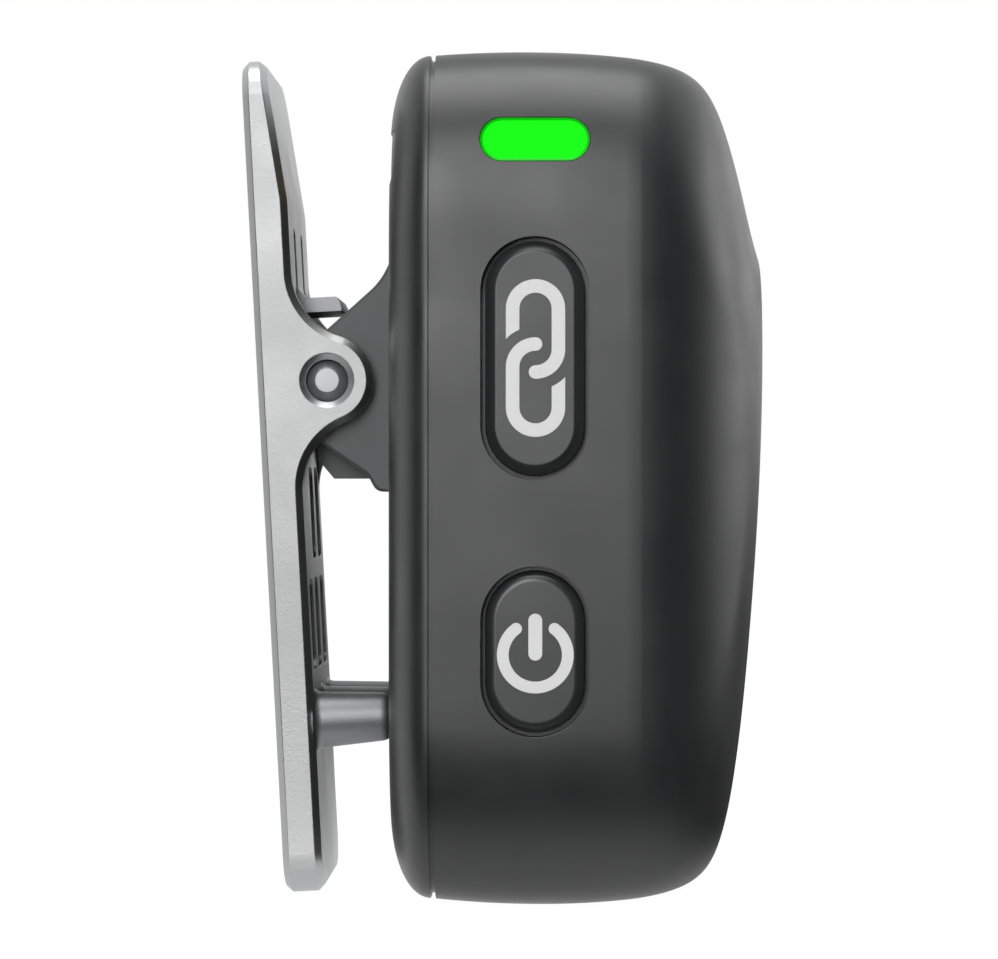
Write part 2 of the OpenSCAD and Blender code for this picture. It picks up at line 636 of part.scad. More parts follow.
// Pocket in the inner face of the lever, centred at y and running from z0 to z1
module pocket(y, z0, z1, w, r) {
    translate([-lever_in - pocket_d, y, (z0 + z1) / 2]) rotate([90, 0, 90])
        linear_extrude(pocket_d + 1) round_rect(w, z1 - z0, r);
}
tooth_tip = (pin_stand - 0.06 - teeth_drop * sin(lever_tilt)) / cos(lever_tilt);
module tooth(y) {
    len = tooth_tip + lever_in + 0.3;
    tip_r = tooth_r - 0.3;
    round_r = 0.55;
    translate([-lever_in - 0.3, y, -teeth_drop]) rotate([0, 90, 0]) rotate_extrude()
        union() {
            polygon([[0, 0], [tooth_r, 0], [tooth_r, 0.3], [tip_r, len - round_r],
                [tip_r - round_r, len - round_r], [tip_r - round_r, len], [0, len]]);
            intersection() {
                translate([tip_r - round_r, len - round_r]) circle(round_r);
                square([tooth_r, len]);
            }
        }
}
tab_len = 2.37;
tab_half = 3.3;
tab_z0 = 3.75;
tab_z1 = 4.55;
slot_y = 2.6;
slot_w = 1.2;
slot_top = 8.3;
pocket_w = 2.7;
pocket_y = 4;
pocket_high = [-9.35, -4.45];            // from and to, below the pin
pocket_low = [-15.2, -10.4];
coil_r = lever_in - 0.09;                // mean radius of the spring
scoop_r = coil_r + wire_d / 2 + 0.3;
module tab_shape() {
    translate([-lever_in - 0.3, tab_z0]) square([tab_len + 0.3 - 0.6, tab_z1 - tab_z0]);
    translate([-lever_in, tab_z0]) square([tab_len, 0.2]);
    translate([tab_len - lever_in - 0.6, tab_z0 + 0.2]) intersection() {
        circle(0.6);
        square(0.6);
    }
    difference() {
        translate([-lever_in - 0.3, tab_z1 - 0.01]) square([1.1, 0.8]);
        translate([-lever_in + 0.8, tab_z1 + 0.79]) circle(0.8);
    }
}
module clip_lever() color("#b7b9bb") in_lever() difference() {
    union() {
        lever_blank();
        for (k = [-1, 0, 1]) tooth(k * teeth_pitch);
        translate([0, tab_half, 0]) rotate([90, 0, 0]) linear_extrude(2 * tab_half) tab_shape();
    }
    for (y = [0, 1]) pocket(y * pocket_y, pocket_high[0], pocket_high[1], pocket_w, 0.6);
    for (y = [-1, 0, 1]) pocket(y * pocket_y, pocket_low[0], pocket_low[1], pocket_w, 0.6);
    for (s = [-1, 1]) pocket(s * slot_y, tab_z1 + 0.1, slot_top, slot_w, 0.5);
    rotate([90, 0, 0]) {
        cylinder(h = 2 * cheek_in, r = scoop_r, center = true);
        cylinder(h = lever_w + 2, r = pin_d / 2 + pin_play, center = true);
        for (s = [0, 1]) mirror([0, 0, s]) translate([0, 0, lever_w / 2 - 0.3])
            cylinder(h = 0.31, r1 = pin_d / 2 + pin_play, r2 = 1.43);
    }
}

// Torsion spring: one wire path from the leg on the lever, round the pin, to the leg
// on the bracket
turns = 8.5;
turn_steps = 14;
coil_half = cheek_in - wire_d / 2 - 0.3;
lever_leg = [-lever_in + wire_d / 2 + 0.1, -coil_half, 3.3];
frame_leg = [pin_stand - 0.8 - wire_d / 2 - 0.04, coil_half, 3.4];
function coil_point(k) = let (a = 360 * k / turn_steps, n = turns * turn_steps)
    [-coil_r * cos(a), coil_half * (2 * k / n - 1), -coil_r * sin(a)];
spring_path = concat([lever_leg], [for (k = [0 : turns * turn_steps]) coil_point(k)],
    [frame_leg]);
// Six points round p, square to direction t
function wire_ring(p, t) = let (s = cross(t, [0, 1, 0]) / norm(cross(t, [0, 1, 0])),
    b = cross(t, s)) [for (j = [0 : 5]) p + wire_d / 2 * (cos(60 * j) * s + sin(60 * j) * b)];
module clip_spring() color("#8d9094") translate([pin_x, 0, pin_z]) {
    last = len(spring_path) - 1;
    loft([for (k = [0 : last]) let (d = spring_path[min(k + 1, last)]
        - spring_path[max(k - 1, 0)]) wire_ring(spring_path[k], d / norm(d))]);
}

front_shell();
back_cover();
contact_plate();
charge_contacts();
contact_board();
contact_leads();
link_button();
power_button();
link_plunger();
power_plunger();
link_switch();
power_switch();
button_board();
led_window();
led_chip();
main_board();
board_screws();
board_header();
shield_can();
chip_antenna();
usb_c_shell();
usb_c_tongue();
jack_socket();
jack_collar();
mic_grille();
mic_boot();
mic_capsule();
battery();
battery_pad();
battery_board();
battery_leads();
clip_bracket();
bracket_screws();
clip_lever();
clip_pin();
clip_spring();
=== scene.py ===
"""Clip-on wireless lavalier microphone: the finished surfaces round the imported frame.

Shapes are worked out in millimetres and turned to metres as each piece is finished.
"""
import math

import bmesh
import bpy
import numpy as np
from mathutils import Matrix, Vector


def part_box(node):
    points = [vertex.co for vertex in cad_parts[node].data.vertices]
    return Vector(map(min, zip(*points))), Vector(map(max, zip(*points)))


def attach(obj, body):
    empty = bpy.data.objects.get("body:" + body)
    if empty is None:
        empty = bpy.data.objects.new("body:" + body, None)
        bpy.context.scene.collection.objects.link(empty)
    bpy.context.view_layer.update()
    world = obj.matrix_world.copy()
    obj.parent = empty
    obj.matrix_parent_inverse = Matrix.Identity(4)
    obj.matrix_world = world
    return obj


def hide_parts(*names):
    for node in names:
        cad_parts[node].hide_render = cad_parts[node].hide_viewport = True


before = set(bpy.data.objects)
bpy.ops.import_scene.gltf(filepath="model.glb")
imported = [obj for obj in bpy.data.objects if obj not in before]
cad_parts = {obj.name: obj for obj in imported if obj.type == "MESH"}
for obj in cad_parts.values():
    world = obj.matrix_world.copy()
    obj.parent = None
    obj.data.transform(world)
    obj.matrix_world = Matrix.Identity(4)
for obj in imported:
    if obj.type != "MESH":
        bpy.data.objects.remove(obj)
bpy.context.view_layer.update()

MM = 0.001

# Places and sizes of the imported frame, in millimetres -----------------------------


def corner_pair(node_name):
    """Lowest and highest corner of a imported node, in millimetres."""
    low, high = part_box(node_name)
    return np.array(low) / MM, np.array(high) / MM


# Housing: x of its back face, then thickness, height, half width and button side
BACK_X = corner_pair("back_cover")[0][0]
BODY_T, HALF_W, BODY_H = corner_pair("front_shell")[1] - [BACK_X, 0, 0]
SIDE_Y = -HALF_W
# Thickness of the rear cover and of the wall
COVER_T, WALL = 2.15, 1.4
# Corners seen from the front: their width, and how much taller than wide they are
CORNER_R, TALL = 5.2, 4.0
# The sides sweep in to the front over an ellipse: its depth and its width
ROUND_X, ROUND_Y = 6.65, 10.0
# Groove between cover and front shell: its width and depth
GAP_W, GAP_D = 0.27, 0.28
# Crown: where it peaks, its radius; the slanted facet that cuts it: start, slope, blend
CROWN_U, CROWN_R = 7.4, 64
FACET_DROP, FACET_LEAN, FACET_BLEND = 10.1, math.radians(14.8), 1.95
# Keel: where it is lowest, its radius; the lower front's long curve: start, radius, blend
KEEL_U, KEEL_R = 8.6, 57
BELLY_DROP, BELLY_R, BELLY_BLEND = 17.2, 157, 2.7
# The row of buttons and light: its x, then openings and the gap round a button
ROW_X = BACK_X + 7.54
KEY_W, KEY_GAP = 5.47, 0.24
LINK_Z, LINK_LEN = sum(corner_pair("link_button"))[2] / 2, 12.25
POWER_Z, POWER_LEN = sum(corner_pair("power_button"))[2] / 2, 8.6
LAMP_Z, LAMP_LEN, LAMP_H = corner_pair("led_window")[1][2] - 1.125, 5.6, 2.31
# Round openings in the top (microphone and, opposite, the socket), and the charging port
TOP_X = sum(corner_pair("mic_grille"))[0] / 2
MIC_Y = sum(corner_pair("mic_grille"))[1] / 2
RIM_Z = corner_pair("jack_collar")[1][2]
TOP_HOLE_R, TOP_HOLE_DEEP = 3.15, 4.5
PORT_X = sum(corner_pair("usb_c_shell"))[0] / 2
PORT_THICK, PORT_WIDE, PORT_DEEP = 3.42, 9.1, 6.3
# Contact strip on the back: its place and size, and its four contacts
STRIP_Z = sum(corner_pair("contact_plate"))[2] / 2
STRIP_WIDE, STRIP_TALL, STRIP_SUNK = 24.44, 2.74, 0.08
CONTACT_Y = (-6, -2, 2, 6)
# Lever, in axes of its own that lean with it and start at the pin: inner and outer face,
# reach up and down, half width, corner radius and bevel
PIN_X, _, PIN_Z = sum(corner_pair("clip_pin")) / 2
LEAN = math.radians(3.04)
LEVER_IN, LEVER_OUT = 1.59, 3.652
LEVER_UP = 17.085
LEVER_DOWN = (PIN_Z - 0.05 - 3.17 * math.sin(LEAN)) / math.cos(LEAN)
LEVER_HALF, LEVER_CORNER, BEVEL = 7.0, 2.2, 0.35
# Its inner face is level up to the knee and tapers from there
KNEE_Z, TAPER_LONG, TAPER = 9.54, 6.9, 0.76


# Making surfaces -------------------------------------------------------------------


def new_piece(name, points, faces):
    """A piece, facing outwards, from points in millimetres and faces of point numbers."""
    mesh = bpy.data.meshes.new(name)
    mesh.from_pydata(np.asarray(points, float).tolist(), [], faces)
    form = bmesh.new()
    form.from_mesh(mesh)
    bmesh.ops.remove_doubles(form, verts=form.verts, dist=1e-5)
    bmesh.ops.dissolve_degenerate(form, edges=form.edges, dist=1e-5)
    if form.calc_volume(signed=True) < 0:
        bmesh.ops.reverse_faces(form, faces=form.faces)
    form.to_mesh(mesh)
    form.free()
    piece = bpy.data.objects.new(name, mesh)
    bpy.context.scene.collection.objects.link(piece)
    return piece


def loft(name, rings, cap="fan"):
    """Surface through rings of equally many points, given as (rings, points, xyz).

    Quads join each ring to the next. Each end closes on a point in its middle ("fan") or
    on one flat face ("flat"), the ends join each other ("loop"), or they stay as they
    are ("none"), open or already folded shut.
    """
    m, n = rings.shape[:2]
    count = m if cap == "loop" else m - 1
    k, j = np.meshgrid(np.arange(count), np.arange(n), indexing="ij")
    after, beside = (k + 1) % m, (j + 1) % n
    faces = np.stack([k * n + j, k * n + beside, after * n + beside, after * n + j],
                     -1).reshape(-1, 4).tolist()
    points = rings.reshape(-1, 3)
    turn, last = np.arange(n), (m - 1) * n
    if cap == "fan":
        points = np.vstack([points, rings[0].mean(0), rings[-1].mean(0)])
        beside = (turn + 1) % n
        faces += np.stack([beside, turn, np.full(n, m * n)], -1).tolist()
        faces += np.stack([turn + last, beside + last, np.full(n, m * n + 1)], -1).tolist()
    elif cap == "flat":
        faces += [turn[::-1].tolist(), (turn + last).tolist()]
    return new_piece(name, points, faces)


def plate(name, grid, y_face, y_back):
    """Thin solid between two y levels, its outline the rim of a grid of (x, z) points."""
    m, n = grid.shape[:2]
    flat = grid.reshape(-1, 2)
    level = np.ones(len(flat))
    points = np.vstack([np.c_[flat[:, 0], y * level, flat[:, 1]] for y in (y_face, y_back)])
    k, j = np.meshgrid(np.arange(m - 1), np.arange(n - 1), indexing="ij")
    a = (k * n + j).ravel()
    front = np.stack([a, a + 1, a + n + 1, a + n], -1)
    rim = np.r_[np.arange(n), np.arange(2, m + 1) * n - 1,
                (m - 1) * n + np.arange(n - 2, -1, -1), np.arange(m - 2, 0, -1) * n]
    ahead = np.roll(rim, -1)
    skirt = np.stack([ahead, rim, rim + m * n, ahead + m * n], -1)
    faces = np.vstack([front, front[:, ::-1] + m * n, skirt])
    return new_piece(name, points, faces.tolist())


def rounded(corners, trims, steps=6):
    """A profile whose inner corners are rounded.

    Each corner gives way to the parabola that leaves both of its sides at the trim
    distance from it: (1-s)^2 start + 2 s (1-s) corner + s^2 end.
    """
    corners = np.asarray(corners, float)
    middle = corners[1:-1]
    reach = np.broadcast_to(np.asarray(trims, float), len(middle))[:, None]
    back, on = corners[:-2] - middle, corners[2:] - middle
    start = middle + reach * back / np.linalg.norm(back, axis=1, keepdims=True)
    end = middle + reach * on / np.linalg.norm(on, axis=1, keepdims=True)
    s = np.linspace(0, 1, steps)[None, :, None]
    bends = ((1 - s) ** 2 * start[:, None] + 2 * s * (1 - s) * middle[:, None]
             + s * s * end[:, None])
    return np.vstack([corners[:1], bends.reshape(-1, corners.shape[1]), corners[-1:]])


def rounded_loop(corners, trims, steps=6):
    """A closed outline with every corner rounded as in rounded()."""
    corners = np.asarray(corners, float)
    around = np.vstack([corners[-1:], corners, corners[:1]])
    return rounded(around, trims, steps)[1:-1]


def arc(cx, cy, r, a0, a1, steps):
    """Points on a circle from angle a0 to a1 in degrees."""
    a = np.radians(np.linspace(a0, a1, steps))
    return np.c_[cx + r * np.cos(a), cy + r * np.sin(a)]


def shrunk(outline, distance):
    """A closed outline, running anticlockwise, moved inwards square to itself.

    Each point moves along the mean of its two sides' normals, lengthened so that the
    sides stay parallel.
    """
    side = np.roll(outline, -1, 0) - outline
    side = side / np.linalg.norm(side, axis=1, keepdims=True)
    normal = np.c_[-side[:, 1], side[:, 0]]
    mean = normal + np.roll(normal, 1, 0)
    return outline + distance * 2 * mean / (mean ** 2).sum(1, keepdims=True)


def turned(name, profile, centre, axis="z", steps=72, cap="fan"):
    """Solid of revolution: the profile of (radius, distance) pairs turned about an axis."""
    a = np.radians(np.arange(steps) * 360 / steps)
    r, t = profile[:, :1], profile[:, 1:]
    wide, high, along = r * np.cos(a), r * np.sin(a), t * np.ones(steps)
    order = {"x": (along, wide, high), "y": (wide, along, high), "z": (wide, high, along)}
    return loft(name, np.stack(order[axis], -1) + np.asarray(centre, float), cap)


def across(outline, y_levels):
    """Rings in the x-z plane: one outline for each y level, or the same for all."""
    outline = np.broadcast_to(outline, (len(y_levels),) + np.shape(outline)[-2:])
    y = np.asarray(y_levels, float)[:, None] * np.ones(outline.shape[1])
    return np.stack([outline[..., 0], y, outline[..., 1]], -1)


def slot_rings(y, inset, x, z, wide, tall, steps=33):
    """Rings of a slot outline, two half circles joined by straight sides, one for each
    pair of y level and inset."""
    y, inset = np.asarray(y, float)[:, None], np.asarray(inset, float)[:, None]
    turn = 0 if tall > wide else -90
    a = np.radians(np.r_[np.linspace(0, 180, steps), np.linspace(180, 360, steps)] + turn)
    end = np.r_[np.ones(steps), -np.ones(steps)] * abs(tall - wide) / 2
    r = min(wide, tall) / 2 - inset
    px = x + r * np.cos(a) + (0 if tall > wide else end)
    pz = z + r * np.sin(a) + (end if tall > wide else 0)
    return np.stack([px, y * np.ones(len(a)), pz], -1)


def bake(piece):
    """Puts the result of the piece's modifiers into its mesh."""
    graph = bpy.context.evaluated_depsgraph_get()
    mesh = bpy.data.meshes.new_from_object(
        piece.evaluated_get(graph), preserve_all_data_layers=True, depsgraph=graph)
    old, piece.data = piece.data, mesh
    piece.modifiers.clear()
    bpy.data.meshes.remove(old)
    return piece


def carve(piece, tools, how="DIFFERENCE"):
    """Cuts the tools out of the piece, or joins them to it, and clears them away."""
    for tool in tools:
        step = piece.modifiers.new("carve", "BOOLEAN")
        step.operation, step.solver, step.object = how, "EXACT", tool
    bake(piece)
    for tool in tools:
        bpy.data.meshes.remove(tool.data)
    return piece


def merge_flats(piece, within=math.radians(0.4)):
    """Joins neighbouring faces that lie in one plane."""
    form = bmesh.new()
    form.from_mesh(piece.data)
    bmesh.ops.dissolve_limit(form, angle_limit=within, verts=form.verts, edges=form.edges)
    form.to_mesh(piece.data)
    form.free()
    return piece


def gather(piece, others):
    """Adds the meshes of the others to the piece as they are."""
    form = bmesh.new()
    for one in [piece] + others:
        form.from_mesh(one.data)
    form.to_mesh(piece.data)
    form.free()
    for one in others:
        bpy.data.meshes.remove(one.data)
    return piece


SMOOTH_TO = 6
SKIN_REACH = 0.012


def finish(piece, body, finishes, replaces=(), edge=0.0, crisp=30, sort=None,
           skin=None, clamp=True):
    """Rounds sharp edges by edge millimetres, sets the shading, turns millimetres to
    metres, gives the materials and lets the piece ride on its body.

    Edges that turn by more than crisp degrees are rounded; what then turns by SMOOTH_TO
    degrees more is shaded sharp. clamp holds the rounding back where edges come close.
    sort picks each face's finish from its middle and normal. Where the piece lies on its
    uncut skin, it takes the skin's smooth shading.
    """
    if edge:
        step = piece.modifiers.new("edge", "BEVEL")
        step.width, step.segments, step.limit_method = edge, 2, "ANGLE"
        step.angle_limit = math.radians(crisp)
        step.use_clamp_overlap = clamp
        bake(piece)
    piece.data.shade_smooth()
    piece.data.set_sharp_from_angle(angle=math.radians(crisp + SMOOTH_TO))
    step = piece.modifiers.new("even", "WEIGHTED_NORMAL")
    step.keep_sharp = True
    if skin:
        skin.data.shade_smooth()
        step = piece.modifiers.new("skin", "DATA_TRANSFER")
        step.object, step.use_loop_data = skin, True
        step.data_types_loops, step.loop_mapping = {"CUSTOM_NORMAL"}, "POLYINTERP_NEAREST"
        step.use_max_distance, step.max_distance = True, SKIN_REACH
    bake(piece)
    if skin:
        bpy.data.meshes.remove(skin.data)
    piece.data.transform(Matrix.Diagonal((MM, MM, MM, 1)))
    piece.data.materials.clear()
    for finish_material in finishes:
        piece.data.materials.append(finish_material)
    faces = piece.data.polygons
    choice = np.zeros(len(faces), np.int32)
    if sort:
        centre, normal = np.zeros(len(faces) * 3), np.zeros(len(faces) * 3)
        faces.foreach_get("center", centre)
        faces.foreach_get("normal", normal)
        choice = sort(centre.reshape(-1, 3) / MM, normal.reshape(-1, 3)).astype(np.int32)
    faces.foreach_set("material_index", choice)
    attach(piece, body)
    if replaces:
        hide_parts(*replaces)
    return piece


# Materials -------------------------------------------------------------------------


def linear(code):
    """An sRGB hex colour as linear values, and full alpha."""
    share = np.array([int(code[k:k + 2], 16) for k in (1, 3, 5)]) / 255
    value = np.where(share <= 0.04045, share / 12.92, ((share + 0.055) / 1.055) ** 2.4)
    return (*value.tolist(), 1.0)


def add(tree, kind, feeds=None, **settings):
    """Adds one node with its settings, and fills or links its sockets."""
    made = tree.nodes.new("ShaderNode" + kind)
    for key, value in settings.items():
        setattr(made, key, value)
    for socket, value in (feeds or {}).items():
        if isinstance(value, bpy.types.NodeSocket):
            tree.links.new(value, made.inputs[socket])
        else:
            made.inputs[socket].default_value = value
    return made


def surface(name, colour, rough, metallic=0.0, ior=1.46, grain=0.15, depth=0.004,
            mottle=4.0, spread=0.05, rough_spread=0.04, **shader):
    """A finish with a fine grain in relief and slow changes of tone and gloss.

    grain is the size of the texture and depth its height, mottle the size of the
    patches of tone, all in millimetres; spread is how far the tone strays.
    """
    material = bpy.data.materials.new(name)
    material.use_nodes = True
    tree = material.node_tree
    tree.nodes.clear()
    place = add(tree, "TexCoord").outputs["Object"]
    patches = add(tree, "TexNoise", {"Vector": place, "Scale": 1 / (mottle * MM),
                                     "Detail": 3.0, "Roughness": 0.55})
    tone = add(tree, "MapRange", {"Value": patches.outputs["Fac"], "From Min": 0.3,
                                  "From Max": 0.7, "To Min": 1 - spread,
                                  "To Max": 1 + spread})
    colour_out = add(tree, "VectorMath", {0: linear(colour)[:3], "Scale": tone.outputs[0]},
                     operation="SCALE").outputs[0]
    gloss = add(tree, "MapRange", {"Value": patches.outputs["Fac"], "From Min": 0.3,
                                   "From Max": 0.7, "To Min": rough - rough_spread,
                                   "To Max": rough + rough_spread})
    grit = add(tree, "TexNoise", {"Vector": place, "Scale": 1 / (grain * MM),
                                  "Detail": 2.0, "Roughness": 0.5})
    relief = add(tree, "Bump", {"Height": grit.outputs["Fac"], "Strength": 1.0,
                                "Distance": depth * MM})
    feeds = {"Base Color": colour_out, "Roughness": gloss.outputs[0],
             "Metallic": metallic, "Normal": relief.outputs[0]}
    if metallic < 0.5:
        feeds["IOR"] = ior
    feeds.update(shader)
    body = add(tree, "BsdfPrincipled", feeds)
    add(tree, "OutputMaterial", {"Surface": body.outputs[0]})
    return material


# PC/ABS moulded with a fine spark-eroded texture: soft sheen, no hard reflection. Its
# grain of about 0.08 mm is drawn twice as coarse, so that it shows
shell_finish = surface("moulded_abs_charcoal", "#212223", 0.38, ior=1.58, grain=0.16,
                       depth=0.002)
# The same plastic from a smoother tool: a touch glossier
key_finish = surface("moulded_abs_button", "#222324", 0.36, ior=1.58, grain=0.14,
                     depth=0.0012)
# Light grey ink-filled symbols: matt and even
icon_finish = surface("filled_symbol_grey", "#cbcbcb", 0.6, ior=1.35, grain=0.1,
                      depth=0.0005, spread=0.02)
# Zinc die casting, bead blasted: bright grey metal that sparkles finely. The beads'
# dents of about 0.05 mm are drawn three times as coarse, so that they show
blasted_zinc = surface("bead_blasted_zinc", "#bcbdbd", 0.56, metallic=1.0, grain=0.15,
                       depth=0.009, spread=0.03)
# The same casting where a cutter has dressed it: smooth satin metal
dressed_zinc = surface("dressed_zinc", "#b0b1b2", 0.38, metallic=1.0, grain=0.5,
                       depth=0.0006, spread=0.02)
# Teeth and tab keep the skin of the die: greyer and duller
raw_zinc = surface("raw_cast_zinc", "#8c8d8e", 0.5, metallic=1.0, grain=0.11, depth=0.006,
                   spread=0.03)
# Ground stainless pin: even satin grey, smoother than the casting round it
pin_finish = surface("ground_steel_pin", "#a4a6a8", 0.5, metallic=1.0, grain=0.08,
                     depth=0.0004, spread=0.02)
# Steel bracket, powder painted: satin charcoal, paler than the plastic
bracket_finish = surface("painted_bracket_charcoal", "#4d4e4f", 0.5, grain=0.2,
                         depth=0.002)
# Drawn spring steel: grey wire with a narrow bright line along it
spring_finish = surface("drawn_spring_wire", "#8d9094", 0.3, metallic=1.0, grain=0.2,
                        depth=0.001)
# Contact strip moulded of black ABS in a smooth tool: deep satin black
strip_finish = surface("polished_black_abs", "#121214", 0.35, ior=1.5, grain=1.0,
                       depth=0.0005)

# Light guide of green acrylic, lit from behind: an even, saturated glow
lamp_finish = surface("lit_green_acrylic", "#042004", 0.5, ior=1.12, grain=0.6,
                      depth=0.0005, spread=0.01,
                      **{"Emission Color": linear("#12ff10"), "Emission Strength": 1.0})
# The sloping rim of the same moulding, out of the direct light: a duller green that hardly
# glows, a painted shade against the glowing face
shaded_lens_rim = surface("green_acrylic_rim_painted_shade", "#06b406", 0.35, ior=1.25, grain=0.6, depth=0.0005,
                   spread=0.02, **{"Emission Color": linear("#00ff00"),
                                   "Emission Strength": 0.02})

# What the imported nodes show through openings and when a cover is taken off
NODE_FINISH = {
    # Gold plating on brass: warm, bright metal
    "charge_contacts": surface("gold_plated_contact", "#e0b560", 0.22, 1.0, grain=0.2,
                               depth=0.0004),
    # Solder mask over copper: glossy green
    "contact_board": surface("solder_mask_green", "#1d5a38", 0.35, grain=0.5, depth=0.002),
    # Extruded silicone insulation: soft red
    "contact_leads": surface("red_lead_insulation", "#a52a2a", 0.45, grain=0.3,
                             depth=0.002),
    # Moulded acetal: milky white, a little waxy
    "link_plunger": surface("white_acetal_plunger", "#dcdcd6", 0.4, grain=0.3,
                            depth=0.001),
    # Moulded nylon: satin black
    "link_switch": surface("switch_black_nylon", "#2a2a2c", 0.5, grain=0.2, depth=0.002),
    "led_window": lamp_finish,
    # Phosphor in clear silicone: cream
    "led_chip": surface("led_phosphor", "#f4f4e8", 0.4, grain=0.2, depth=0.001),
    # Zinc plating on steel: cool bright metal
    "board_screws": surface("zinc_plated_screw", "#b0b3b8", 0.32, 1.0, grain=0.2,
                            depth=0.001),
    # Moulded nylon: deeper black
    "board_header": surface("header_black_nylon", "#1c1c1e", 0.5, grain=0.3, depth=0.002),
    # Pressed tin plate: bright and a little wavy
    "shield_can": surface("tin_plated_can", "#c3c6ca", 0.3, 1.0, grain=0.6, depth=0.001),
    # Fired ceramic: matt ivory
    "chip_antenna": surface("ceramic_antenna", "#e9e4d8", 0.55, grain=0.2, depth=0.002),
    # Moulded liquid-crystal polymer: satin black
    "usb_c_tongue": surface("port_tongue_black", "#202022", 0.45, grain=0.3, depth=0.001),
    # Moulded polyester: black, a little glossier
    "jack_socket": surface("jack_socket_black", "#19191b", 0.4, grain=0.3, depth=0.001),
    # Turned aluminium, anodised black: dark metal with a crisp light
    "jack_collar": surface("collar_black_anodised", "#303134", 0.34, 1.0, grain=0.1,
                           depth=0.0005),
    # Silicone rubber: dull black
    "mic_boot": surface("silicone_boot", "#1d1d1f", 0.6, grain=0.3, depth=0.002),
    # Drawn aluminium: even light grey metal
    "mic_capsule": surface("capsule_aluminium", "#c4c6c8", 0.35, 1.0, grain=0.1,
                           depth=0.001),
    # Aluminium laminate: crinkled foil
    "battery": surface("pouch_cell_foil", "#b5b9be", 0.3, 0.9, grain=1.2, depth=0.01),
    # Open foam: matt charcoal with visible pores
    "battery_pad": surface("foam_pad_charcoal", "#26262a", 0.9, grain=0.4, depth=0.03),
}
SAME_FINISH = {
    "power_plunger": "link_plunger", "power_switch": "link_switch",
    "button_board": "contact_board", "main_board": "contact_board",
    "battery_board": "contact_board", "battery_leads": "contact_leads",
    "bracket_screws": "board_screws", "mic_grille": "jack_collar",
    "usb_c_shell": "shield_can",
}
for name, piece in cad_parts.items():
    chosen = NODE_FINISH.get(SAME_FINISH.get(name, name), shell_finish)
    piece.data.materials.clear()
    piece.data.materials.append(chosen)


# Housing ---------------------------------------------------------------------------


def drop(d, r):
    """How far a circle of radius r has fallen at distance d from its top."""
    return r - np.sqrt(r * r - d * d)


def soft_join(a, b, s, way):
    """Lower (way -1) or higher (way +1) of two heights, blended over s."""
    return (a + b + way * np.sqrt((a - b) ** 2 + 4 * s * s)) / 2


def sweep(t):
    """Quarter circle that leaves along the side and ends square to it."""
    return 1 - np.sqrt(np.maximum(0, 1 - np.minimum(1, t) ** 2))


def raw_top(u, i):
    """The crown blended into the slanted upper facet of the front, set in by i."""
    facet = BODY_H - FACET_DROP + (BODY_T - i - u) / math.tan(FACET_LEAN)
    return soft_join(BODY_H - i - drop(u - CROWN_U, CROWN_R), facet, FACET_BLEND, -1)


def raw_low(u, i):
    """The keel blended into the long curve of the lower front, set in by i."""
    ahead = np.maximum(0, BODY_T - i - u)
    front = BODY_H - BELLY_DROP - np.sqrt(2 * BELLY_R * ahead)
    return soft_join(i + drop(u - KEEL_U, KEEL_R), front, BELLY_BLEND, 1)


def top_at(u, i=0.0):
    """Height of the top at distance u from the back face; its peak is at BODY_H."""
    return raw_top(u, i) + BODY_H - raw_top(CROWN_U, 0)


def low_at(u, i=0.0):
    """Height of the underside at distance u from the back face; its lowest is at 0."""
    return raw_low(u, i) - raw_low(KEEL_U, 0)


def frames(u, half, low, high, radius, tall=0.0):
    """Rounded rectangles across the housing, one for each distance u.

    Each corner is a quarter ellipse, tall millimetres higher than it is wide. Along a
    straight side the angle stays and the centre moves on to the next corner's.
    """
    u, half, low, high, radius = [np.asarray(v, float)[:, None] * np.ones((len(u), 1))
                                  for v in (u, half, low, high, radius)]
    radius = np.minimum(radius, np.minimum(half - 0.3, (high - low) / 2 - 0.1))
    climb = np.minimum(radius + tall, (high - low) / 2 - 0.1)
    turn, hold = np.linspace(0, 90, 17), np.linspace(1, -1, 17)[1:-1]
    stay = np.ones(17)
    angle = np.radians(np.concatenate([np.r_[turn + 90 * c, np.full(15, 90.0 * c + 90)]
                                       for c in range(4)]))
    to_y = np.concatenate([np.r_[stay, hold], np.r_[-stay, -np.ones(15)],
                           np.r_[-stay, -hold], np.r_[stay, np.ones(15)]])
    to_z = np.concatenate([np.r_[stay, np.ones(15)], np.r_[stay, hold],
                           np.r_[-stay, -np.ones(15)], np.r_[-stay, -hold]])
    y = to_y * (half - radius) + radius * np.cos(angle)
    z = (high + low) / 2 + to_z * ((high - low) / 2 - climb) + climb * np.sin(angle)
    return np.stack([BACK_X + u * np.ones(len(angle)), y, z], -1)


def shell_rings(u, i=0.0, tall=0.0):
    """Cross-sections of the front shell: the sides sweep in over an ellipse ahead of
    u = BODY_T - ROUND_X, and the corners grow rounder as they do."""
    u = np.asarray(u, float)
    swing = (ROUND_Y - i) * sweep(np.maximum(0, u - BODY_T + ROUND_X) / (ROUND_X - i))
    return frames(u, HALF_W - i - swing, low_at(u, i), top_at(u, i),
                  CORNER_R - 0.6 * i + 0.55 * swing, tall)


def rim_rings(u, inset, radius, tall=0.0):
    """Straight cross-sections with the outline of the parting line, set in."""
    u, inset = np.asarray(u, float), np.asarray(inset, float)
    low, high = low_at(np.array([COVER_T])), top_at(np.array([COVER_T]))
    return frames(u, HALF_W - inset, low + inset, high - inset, radius, tall)


def eased(rings, passes):
    """Rings smoothed along their row: each moves to a quarter of both neighbours and
    half of itself, again and again; the first and last stay."""
    for _ in range(passes):
        rings[1:-1] = (rings[:-2] + 2 * rings[1:-1] + rings[2:]) / 4
    return rings


